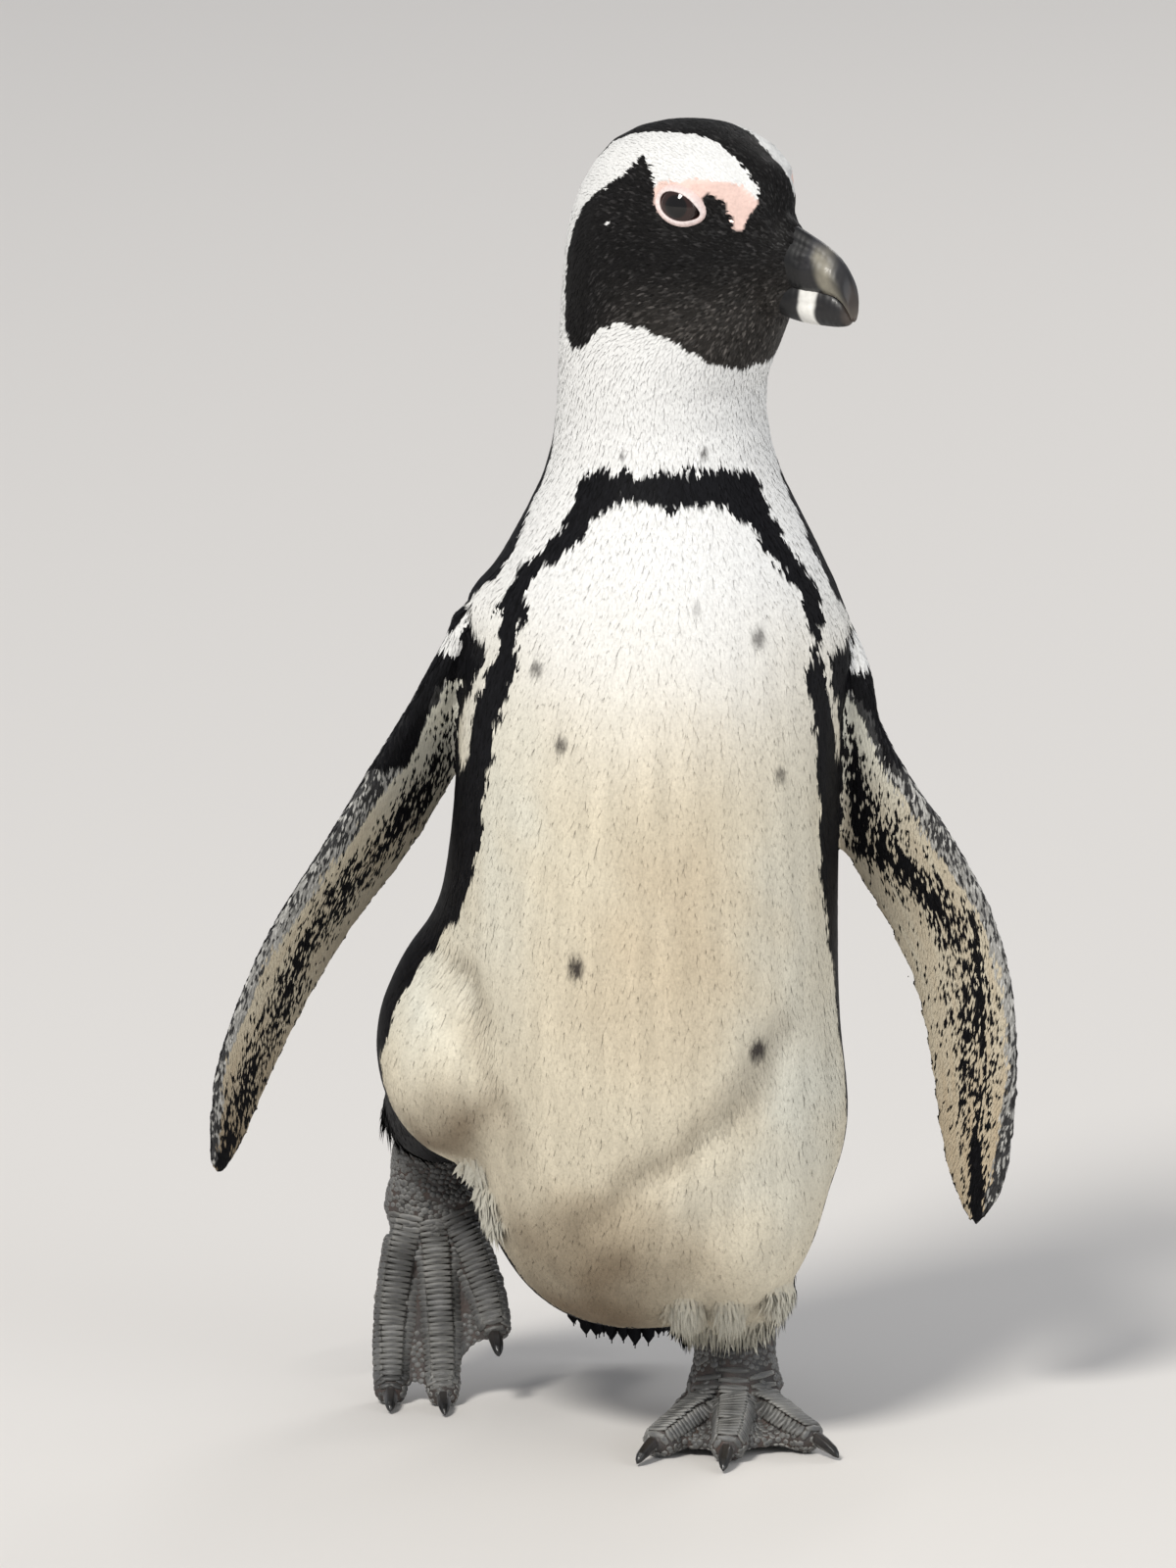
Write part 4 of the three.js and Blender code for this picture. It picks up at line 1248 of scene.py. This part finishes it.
def addCoat():
    fields = coatFields(skinPoints, skinParts)
    bare = isPart(skinParts, *bareParts) | (isPart(skinParts, "tail") & (skinPoints[:, 2] < 84))
    _, _, pink = colourOf(skinOuter, skinNormals, skinParts)
    bare |= pink
    for side in (1, -1):
        share, near = eyeShare(skinPoints, side)
        bare |= (share < 0.99) & near
    weight = np.where(bare, 0.0, 1.0)
    roots, normals, near = scatterRoots(weight, fields[1], coatSettings["crowd"], 101)
    parts = skinParts[near]
    rng = np.random.default_rng(102)
    count = len(roots)
    depth, _, length, width = coatFields(roots, parts)
    lie = coatLie(roots, normals, parts)
    wings = isPart(parts, *flippersBoth)
    hem = hemShare(roots, parts)
    height = roots[:, 2]
    hanging = hem * smooth(100, 80, height)
    lie = unit(blend(lie, np.array([0.0, -0.35, -1.0]), (0.75 * hanging)[:, None]))
    swing = np.radians(coatSettings["swing"]) * rng.normal(size=count)
    swing *= np.where(wings, coatSettings["flipperSwing"], 1 + hem)
    lie = unit(lie * np.cos(swing)[:, None] + np.cross(normals, lie) * np.sin(swing)[:, None])
    vary = coatSettings["vary"]
    length = length * (1 + vary * rng.normal(size=count)).clip(0.6, 1.4)
    depth = depth * (1 + 0.5 * vary * rng.normal(size=count)).clip(0.6, 1.4)
    length = length * (1 + 0.75 * hem) * (1 - 0.5 * hem * smooth(100, 80, height))
    stand, vary = coatSettings["hemDepth"]
    depth = depth + hem * (stand + vary * rng.random(count))
    colours = []
    for shownAt in coatSettings["shownAt"]:
        shown = roots + lie * (length * np.where(wings, coatSettings["shownOnFlippers"], shownAt))[:, None]
        colour, dark, pink = colourOf(shown, normals, parts, np.random.default_rng(103))
        colours.append(toned(colour, "pale", 0.8 * hem * ~dark))
    keep = ~pink
    tone = 1 + rng.normal(size=count) * np.where(dark, coatSettings["varyDark"], coatSettings["varyWhite"])
    colour = np.stack(colours, 1) * tone[:, None, None]
    # some of the face's black feathers are painted lighter, as painted glints
    ahead, aside, _ = inHead(roots)
    paintedGlint = dark & (height > 448) & (ahead > -18)
    paintedGlint &= rng.random(count) < 0.12 + 0.2 * smooth(495, 470, height)
    shine = (1.6 + 2.2 * rng.random(count) ** 2)[:, None, None]
    colour = np.where(paintedGlint[:, None, None], colour * shine + 0.006, colour)
    front = roots[:, 1] < table(bodyMarks["middle"], height)[1]
    head, neck, breast, belly = coatSettings["frontParts"]
    back, flank = coatSettings["backParts"]
    between = [
        ("face_feathers", head, 999, aside < 0),
        ("crown_feathers", head, 999, aside >= 0),
        ("neck_feathers", neck, head, True),
        ("breast_feathers", breast, neck, front),
        ("back_feathers", back, neck, ~front),
        ("belly_feathers", belly, breast, front),
        ("vent_feathers", -999, belly, front),
        ("flank_feathers", flank, back, ~front),
        ("rump_feathers", -999, flank, ~front),
    ]
    regions = {name: (height > low) & (height <= high) & side & ~wings for name, low, high, side in between}
    regions["left_flipper_feathers"] = isPart(parts, "flipper_left")
    regions["right_flipper_feathers"] = isPart(parts, "flipper_right")
    for name, chosen in regions.items():
        chosen = chosen & keep
        skinChosen = np.zeros(len(skinPoints), bool)
        skinChosen[near[chosen]] = True
        places = mapPlaces(roots[chosen], unwrapFor(skinChosen))
        own = (values[chosen] for values in (roots, normals, lie, length, width, depth, hem, colour))
        piece = addVanes(name, places, *own)
        finishPiece(piece, "flipper_feathers" if "flipper" in name else "plumage", "plumage")
        print(name, chosen.sum())


addCoat()
print("coat is on")


# Bill: two horn sheaths, the upper one hooked over the lower.
billSettings = {
    # ahead of the head's axis, top, bottom and half width, from inside the face to the tip
    "upper": [(42, 511, 487, 6.0), (48, 513, 486, 8.4), (56, 511.5, 485, 8.8), (65, 508.3, 484.3, 8.4),
              (74, 504.4, 484.8, 7.6), (80.5, 500.2, 484.3, 6.6), (85, 494.6, 481.3, 5.2),
              (87.4, 488.0, 477.6, 3.6), (87.9, 481.2, 475.2, 1.8)],
    "lower": [(42, 493, 478, 5.5), (48, 491, 475.0, 7.4), (56, 489.5, 473.0, 7.7), (65, 488.6, 472.0, 7.1),
              (74, 488.0, 472.0, 6.2), (81, 485.6, 472.4, 5.2), (85, 482, 473.4, 3.8),
              (86.8, 478.6, 475.2, 1.6)],
    "rows": 90,
    "sides": 72,
    # how much narrower each sheath is at its top and underneath
    "narrow": {"upper": (0.60, 0.12), "lower": (0.05, 0.30)},
    # place up the side, depth in mm and half width of each sheath's groove, and where it runs ahead
    "groove": {"upper": (0.62, 0.75, 0.12, (50, 58, 70, 82)), "lower": (0.1, 0.5, 0.14, (58, 66, 72, 80))},
    "nostril": (66.5, 0.20, 1.3, 3.4, 0.09),  # ahead, up the side, depth in mm, half length, half height
    "lip": (-0.62, 0.35, 0.2),  # the upper sheath's swollen edge: up the side, height in mm, half width
    "growth": 0.05,  # height of the fine rings that it grows by, mm
    # how far ahead each pale band starts, is full, fades and ends
    "upperBand": (68.5, 72.5, 75.5, 80.5),
    "lowerBand": (63.0, 64.6, 71.4, 73.2),
    "bandSlant": {"upper": 0.44, "lower": 0.04},
    "root": (69.5, 63.5),  # how far ahead the soft root ends
    "rootSlant": 0.12,
    "mottle": 0.12,
}
hornColours = {
    "dark": (0.014, 0.0135, 0.0145),
    # the ridge colour is a lighter blue-grey painted on the top of the upper sheath, as painted sheen
    "ridge": (0.035, 0.035, 0.04),
    "band": (0.38, 0.35, 0.27),
    "white": (0.80, 0.79, 0.75),
    "edge": (0.11, 0.085, 0.07),
    "root": (0.0045, 0.0045, 0.005),
}
horn = {name: np.array(colour) for name, colour in hornColours.items()}


def curveThrough(rows, count):
    # a smooth curve through rows of numbers, evenly stepped along its first two columns
    rows = np.array(rows, float)
    spots = np.concatenate([[0], np.cumsum(np.hypot(*np.diff(rows[:, :2], axis=0).T))])
    slopes = np.gradient(rows, spots, axis=0)
    at = np.linspace(0, spots[-1], count)
    i = np.clip(np.searchsorted(spots, at, "right") - 1, 0, len(rows) - 2)
    step = spots[i + 1] - spots[i]
    t = ((at - spots[i]) / step)[:, None]
    step = step[:, None]
    return (
        (2 * t**3 - 3 * t**2 + 1) * rows[i] + (t**3 - 2 * t**2 + t) * step * slopes[i]
        + (-2 * t**3 + 3 * t**2) * rows[i + 1] + (t**3 - t**2) * step * slopes[i + 1]
    )


def addSheath(kind):
    rows = curveThrough(billSettings[kind], billSettings["rows"])
    count, sides = billSettings["rows"], billSettings["sides"]
    angle = np.linspace(0, 2 * math.pi, sides, endpoint=False)
    ahead, top, bottom, half = (rows[:, i : i + 1] for i in range(4))
    up = np.sign(np.sin(angle)) * np.abs(np.sin(angle)) ** 0.85
    wide = np.sign(np.cos(angle)) * np.abs(np.cos(angle)) ** 0.72
    upper = kind == "upper"
    ridge, keel = billSettings["narrow"][kind]
    narrow = 1 - ridge * np.clip(up, 0, 1) ** 1.3
    narrow = narrow * (1 - keel * np.clip(-up, 0, 1) ** 1.8)
    aside = half * wide * narrow
    height = (top + bottom) / 2 + up * (top - bottom) / 2
    ahead = ahead + 0 * aside
    face = np.sign(wide)
    place, deep, thick, along = billSettings["groove"][kind]
    aside = aside - face * deep * run(ahead, *along) * np.exp(-(((up - place) / thick) ** 2))
    if upper:
        spot, level, deep, long, tall = billSettings["nostril"]
        hole = np.exp(-(((ahead - spot) / long) ** 2) - ((up - level - (ahead - spot) * 0.03) / tall) ** 2)
        aside = aside - face * deep * hole
        place, high, thick = billSettings["lip"]
        aside = aside + face * high * np.exp(-(((up - place) / thick) ** 2)) * smooth(54, 66, ahead)
    rings = np.sin(ahead * 2.3 + up * 1.5 + np.sin(ahead * 0.7)) * smooth(56, 64, ahead)
    aside = aside + face * billSettings["growth"] * rings
    endHeights = (top + bottom)[[0, -1], 0] / 2
    ends = headPoint(ahead[[0, -1], 0] + np.array([-0.2, 0.25]), np.zeros(2), endHeights)
    points = np.concatenate([headPoint(ahead, aside, height).reshape(-1, 3), ends])
    i, j = np.meshgrid(np.arange(count - 1), np.arange(sides), indexing="ij")
    turned = (j + 1) % sides
    here, there = i * sides, (i + 1) * sides
    quads = np.stack([here + j, there + j, there + turned, here + turned], -1).reshape(-1, 4)
    j, turned = np.arange(sides), (np.arange(sides) + 1) % sides
    last = (count - 1) * sides
    back = np.stack([np.full(sides, count * sides), j, turned], -1)
    tip = np.stack([np.full(sides, count * sides + 1), last + turned, last + j], -1)
    triangles = np.concatenate([quads[:, [0, 1, 2]], quads[:, [0, 2, 3]], back, tip])
    piece = meshFrom("bill_" + kind + "_horn", toRow(points), triangles)
    front, _, level = inHead(points)
    mottle = ripple(points * np.array([1, 1, 0.4]), 3.0, 91)
    slant = billSettings["bandSlant"][kind]
    if upper:
        band = run(front - (500 - level) * slant + 0.8 * mottle, *billSettings["upperBand"])
        band = band * smooth(507, 500, level) * (0.6 + 0.3 * mottle)
        rim = smooth(2.4, 0.4, level - np.interp(front, rows[:, 0], rows[:, 2])) * smooth(70, 84, front)
        layers = [
            # the top of the upper sheath is painted lighter, as painted sheen
            ("ridge", smooth(0.35, 1.0, (level - 486) / 18) * smooth(62, 68, front)),
            ("band", np.clip(band, 0, 1)),
            ("edge", np.clip(rim + smooth(85.5, 90, front) * 0.8, 0, 1)),
        ]
    else:
        band = run(front + 0.5 * mottle - (level - 482) * slant, *billSettings["lowerBand"])
        layers = [("white", band), ("edge", smooth(83, 87, front) * 0.6)]
    # the root is soft dark skin like the feathers round it, and ends sooner on the lower sheath
    rootReach = front - billSettings["rootSlant"] * (level - 496) + (0 if upper else 3)
    layers.append(("root", smooth(*billSettings["root"], rootReach)))
    base = horn["dark"]
    for name, share in layers:
        base = blend(base, horn[name], share[:, None])
    paint(piece, base * (1 + billSettings["mottle"] * mottle[:, None]))
    finishPiece(piece, "horn", "horn", ["bill_" + kind])


addSheath("upper")
addSheath("lower")
print("bill is on")


# Claws: rounder than the solids they stand for, and seated in the toes.
clawSettings = {
    "voxel": 0.42,  # mm
    "grown": 0.25,
    "rooted": 6.0,  # how far the root runs into the toe
    "evenRounds": 6,
}


def addClaw(node):
    name = node + "_horn"
    claw = linked(name, solidCopy(node, clawSettings["grown"], bpy.data.meshes.new(name)))
    remeshed(claw, clawSettings["voxel"])
    points = toBird(evened(claw, clawSettings["evenRounds"]))
    # the end nearest to the toe's skin is its root, and grows towards it
    depths = np.array([outerTree.find_nearest(Vector(p))[3] for p in points])
    root, tip = points[depths.argmin()], points[depths.argmax()]
    axis = unit(tip - root)
    along = (points - root) @ axis
    share = np.clip(along / np.linalg.norm(tip - root), 0, 1)
    points = points - axis * (clawSettings["rooted"] * (1 - smooth(0.0, 0.6, share)))[:, None]
    setPoints(claw, toRow(points))
    claw.data.polygons.foreach_set("use_smooth", np.ones(len(claw.data.polygons), bool))
    paint(claw, toned(shade["clawRoot"], "clawTip", smooth(0.1, 0.7, share)))
    finishPiece(claw, "claw", "claw", [node])


for node in sorted(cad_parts):
    if node.startswith("claw_"):
        addClaw(node)
print("claws are on")


# Scales: raised plates on the bare legs, toes and webs.
footSettings = {
    "spacing": 1.9,  # of the small plates, and their size, in mm
    "wide": 2.3,
    "long": 2.0,
    "high": 0.42,
    "scuteStep": 2.35,  # along a toe, from one broad plate to the next
    "scuteWide": 0.62,  # of the toe's own width
    "scuteAngles": (-58, 0, 58),  # degrees round the toe
    "scuteHigh": 1.7,  # times as high as the small plates
    "grown": 1.15,  # the small plates over their spacing
    "crowd": 4,  # how many places are tried for each plate
    "vary": 0.16,
    "foot": 1.2,  # a plate's outline at the skin and at its shoulder, as shares of its size
    "shoulder": 0.92,
    "sunk": 0.35,  # how deep its foot lies in the skin, mm
    "down": {"left": (0.0, -0.45, -1.0), "right": (0.0, -0.15, -1.0)},  # the way the plates point
}
# The toes' middle lines, from the foot to the claw: x, y, z and radius.
toePaths = {
    "left_inner": [(33, 2, 12, 10), (23, -15, 10.5, 9.4), (13, -32, 7.6, 8), (5.5, -45, 5.6, 6)],
    "left_middle": [(40, 0, 14, 10), (39.5, -20, 11.5, 9.4), (38, -40, 7.8, 8), (36.5, -54, 5.6, 6)],
    "left_outer": [(47, 2, 12, 10), (57, -13, 10.5, 9.4), (66, -26, 7.6, 8), (75, -36, 5.6, 6)],
    "right_outer": [(-93, 80, 76, 9.4), (-98, 74, 54, 9), (-101, 68, 31, 8.4), (-101.5, 59, 9, 7.6),
                    (-101.5, 47, 6, 6)],
    "right_middle": [(-84, 79, 74, 9.4), (-82, 72, 52, 9), (-80.5, 66, 29, 8.4), (-80, 56, 9, 7.6),
                     (-79.5, 43, 6, 6)],
    "right_inner": [(-76, 80, 77, 9.4), (-68, 75, 60, 9), (-62, 70, 44, 8.4), (-59, 64, 32, 7.6),
                    (-58, 56, 27, 6)],
}
toeTops = {"left": (0, 0.1, 1), "right": (0, -1, 0.12)}  # which way the toes' scaly fronts face
plateAngles = np.radians(np.arange(6) * 60 + 30)
plateRing = np.stack([np.sin(plateAngles), np.cos(plateAngles)], 1)  # along, across
plateFaces = (
    [(k, (k + 1) % 6, 6 + (k + 1) % 6) for k in range(6)] + [(k, 6 + (k + 1) % 6, 6 + k) for k in range(6)]
    + [(6 + k, 6 + (k + 1) % 6, 12) for k in range(6)] + [(0, 2, 1), (0, 3, 2), (0, 4, 3), (0, 5, 4)]
)


def addPlates(name, roots, normals, lie, size, colour, rim, places):
    # size holds each plate's half length, half width and height
    count = len(roots)
    side = np.cross(normals, lie)
    corners = np.zeros((count, 13, 3))
    for k in range(6):
        along, across = plateRing[k]
        step = lie * (size[:, 0] * along)[:, None] + side * (size[:, 1] * across)[:, None]
        corners[:, k] = roots + step * footSettings["foot"] - normals * footSettings["sunk"]
        corners[:, 6 + k] = roots + step * footSettings["shoulder"] + normals * (size[:, 2] * 0.75)[:, None]
    corners[:, 12] = roots + normals * (size[:, 2])[:, None] + lie * (size[:, 0] * 0.15)[:, None]
    faces = np.arange(count)[:, None, None] * 13 + np.array(plateFaces)[None]
    piece = meshFrom(name, toRow(corners.reshape(-1, 3)), faces)
    tint = np.zeros((count, 13, 3))
    tint[:, :6] = rim[:, None]
    tint[:, 6:12] = blend(rim, colour, 0.6)[:, None]
    tint[:, 12] = colour
    paint(piece, tint.reshape(-1, 3))
    patch = np.concatenate([plateRing[:, ::-1] * 0.5, plateRing[:, ::-1] * 0.36, np.zeros((1, 2))])
    mapPatches(piece, (places[:, None] + patch * patchSize).reshape(-1, 2), faces)
    finishPiece(piece, "scaled_skin", "scaledSkin")


def toeScutes(side):
    # rows of broad plates over the tops of the toes: place, normal, lie and half sizes
    top = np.array(toeTops[side], float)
    found = []
    for name, path in toePaths.items():
        if not name.startswith(side):
            continue
        path = np.array(path, float)
        spots = np.concatenate([[0], np.cumsum(np.linalg.norm(np.diff(path[:, :3], axis=0), axis=1))])
        for spot in np.arange(3, spots[-1] - 1, footSettings["scuteStep"]):
            here, before, after = (
                np.array([np.interp(at, spots, column) for column in path.T])
                for at in (spot, spot - 2, spot + 2)
            )
            ahead = unit((after - before)[:3])
            out = unit(top - ahead * (top @ ahead))
            across = np.cross(ahead, out)
            for angle in footSettings["scuteAngles"]:
                ray = out * math.cos(math.radians(angle)) + across * math.sin(math.radians(angle))
                place, normal, _, _ = finalTree.ray_cast(Vector(here[:3] + ray * 16), Vector(-ray), 14)
                if place is None or np.dot(normal, ray) < 0.3:
                    continue
                half = here[3] * footSettings["scuteWide"] * (1.0 if angle == 0 else 0.62)
                found.append((*place, *normal, *ahead, footSettings["scuteStep"] * 0.56, half))
    return np.array(found)


def addScales(side):
    parts = ("tarsus_" + side, "foot_" + side)
    weight = isPart(skinParts, *parts).astype(float)
    spacing = np.full(len(skinPoints), footSettings["spacing"])
    scutes = toeScutes(side)
    roots, normals, _ = scatterRoots(weight, spacing, footSettings["crowd"], 111)
    rng = np.random.default_rng(112)
    tree = pointTree(scutes[:, :3])
    free = np.ones(len(roots), bool)
    for i, root in enumerate(roots):
        for _, j, _ in tree.find_range(root, 6):
            row = scutes[j]
            off = root - row[:3]
            across = np.cross(row[3:6], row[6:9])
            if abs(off @ row[6:9]) < row[9] * 1.15 and abs(off @ across) < row[10] * 0.9:
                free[i] = False
                break
    roots, normals = roots[free], normals[free]
    down = np.array(footSettings["down"][side])
    lie = unit(down - normals * (normals @ down)[:, None])
    count = len(roots)
    long, wide, high, grown, vary = (footSettings[name] for name in ("long", "wide", "high", "grown", "vary"))
    scale = 1 + vary * rng.normal(size=count).clip(-2, 2)
    size = np.stack([long / 2 * scale * grown, wide / 2 * scale * grown, high * scale], 1)
    scuteHigh = np.full(len(scutes), high * footSettings["scuteHigh"])
    scuteSize = np.stack([scutes[:, 9], scutes[:, 10], scuteHigh], 1)
    allRoots = np.concatenate([roots, scutes[:, :3]])
    allNormals = unit(np.concatenate([normals, scutes[:, 3:6]]))
    allLie = np.concatenate([lie, scutes[:, 6:9]])
    allLie = unit(allLie - allNormals * np.sum(allLie * allNormals, 1, keepdims=True))
    allSize = np.concatenate([size, scuteSize])
    tone = ripple(allRoots, 9, 113)[:, None]
    colour = shade["scale"] * (0.75 + 0.3 * tone + vary * rng.normal(size=(len(allRoots), 1))).clip(0.3, 1.6)
    rim = shade["scaleRim"] * (0.8 + 0.5 * ripple(allRoots, 14, 114)[:, None]).clip(0.25, 1.5)
    places = mapPlaces(allRoots, unwrapFor(weight > 0))
    addPlates(side + "_foot_scales", allRoots, allNormals, allLie, allSize, colour, rim, places)
    print(side, "foot has", len(allRoots), "scales")


for side in ("left", "right"):
    addScales(side)


# Tail: two layers of stiff feathers in a fan.
tailSettings = {
    "middle": [(76, 114), (94, 90), (110, 60), (121, 32), (128, 5)],  # y and z along the tail, from the rump
    "halfWidth": [20, 23, 24, 24, 22],
    "halfThick": [8, 6.6, 3.6, 1.6, 0.5],
    "feathers": {"over": 11, "under": 9},
    "wide": 6.4,
    "rows": 12,
    "x": -5.0,
    "uneven": 0.03,  # how unevenly the feathers are spread
    "round": 0.10,  # how much shorter the outer feathers are, and how much single ones vary
    "vary": 0.05,
    "stagger": 0.35,  # mm between one feather and the next, which overlaps it
    "ridge": 0.55,
}


def addTail():
    rng = np.random.default_rng(121)
    rows = tailSettings["rows"]
    shares = np.linspace(0, 1, len(tailSettings["middle"]))
    middle = np.array(tailSettings["middle"], float)
    points, faces, tint, spots = [], [], [], []
    for layer, count in tailSettings["feathers"].items():
        lift = 1 if layer == "over" else -1
        for k in range(count):
            fan = (k + 0.5) / count * 2 - 1 + rng.normal() * tailSettings["uneven"]
            end = 1 - tailSettings["round"] * fan**2 - tailSettings["vary"] * rng.random()
            grow = 1 - (1 - np.linspace(0, 1, rows)) ** 1.8
            t = 0.04 + (end - 0.04) * grow
            y, z = (np.interp(t, shares, middle[:, i]) for i in range(2))
            slope = unit(np.stack([np.gradient(y, t), np.gradient(z, t)], 1))
            normal = np.stack([np.zeros(rows), -slope[:, 1], slope[:, 0]], 1)
            x = tailSettings["x"] + fan * np.interp(t, shares, tailSettings["halfWidth"])
            thick = np.interp(t, shares, tailSettings["halfThick"]) * (1 - 0.35 * fan**2)
            off = lift * (thick + tailSettings["stagger"] * (k % 2) + 0.5)
            line = np.stack([x, y, z], 1) + normal * off[:, None]
            half = tailSettings["wide"] / 2 * np.sin(np.clip(0.25 + grow * 0.66, 0, 1) * math.pi) ** 0.3
            half = np.where(grow > 0.985, 0.25, half)
            aside = half[:, None] * np.array([1.0, 0, 0])
            ridge = normal * (lift * tailSettings["ridge"] * (1 - 0.6 * grow))[:, None]
            first = len(points) * rows * 4
            ring = np.stack([line - aside, line + ridge, line + aside, line - ridge * 0.5], 1)
            points.append(ring.reshape(-1, 3))
            tone = (0.85 + 0.35 * grow + rng.normal() * 0.08)[:, None, None] * shade["black"]
            tint.append(np.broadcast_to(tone, (rows, 4, 3)).reshape(-1, 3))
            mapX = (fan * 0.5 + 0.5) * 0.9 + 0.05 + 0 * grow[:, None]
            mapY = grow[:, None] * 0.42 + (0.05 if lift > 0 else 0.53)
            wide = np.array([-1, -0.2, 1, 0.2]) * 0.018
            spots.append(np.stack([mapX + wide, mapY + 0 * wide], -1).reshape(-1, 2))
            for r in range(rows - 1):
                for c in range(4):
                    a, b = first + r * 4 + c, first + r * 4 + (c + 1) % 4
                    quad = (a, b, b + 4, a + 4)
                    faces.append(quad if lift > 0 else quad[::-1])
            last = first + (rows - 1) * 4
            cap = [(first + 3, first + 2, first + 1, first), (last, last + 1, last + 2, last + 3)]
            faces.extend(cap if lift > 0 else [c[::-1] for c in cap])
    piece = meshFrom("tail_feathers", toRow(np.concatenate(points)), faces, 4)
    paint(piece, np.concatenate(tint))
    mapPatches(piece, np.concatenate(spots), faces)
    finishPiece(piece, "flipper_feathers", "plumage")


addTail()
print("tail is on")
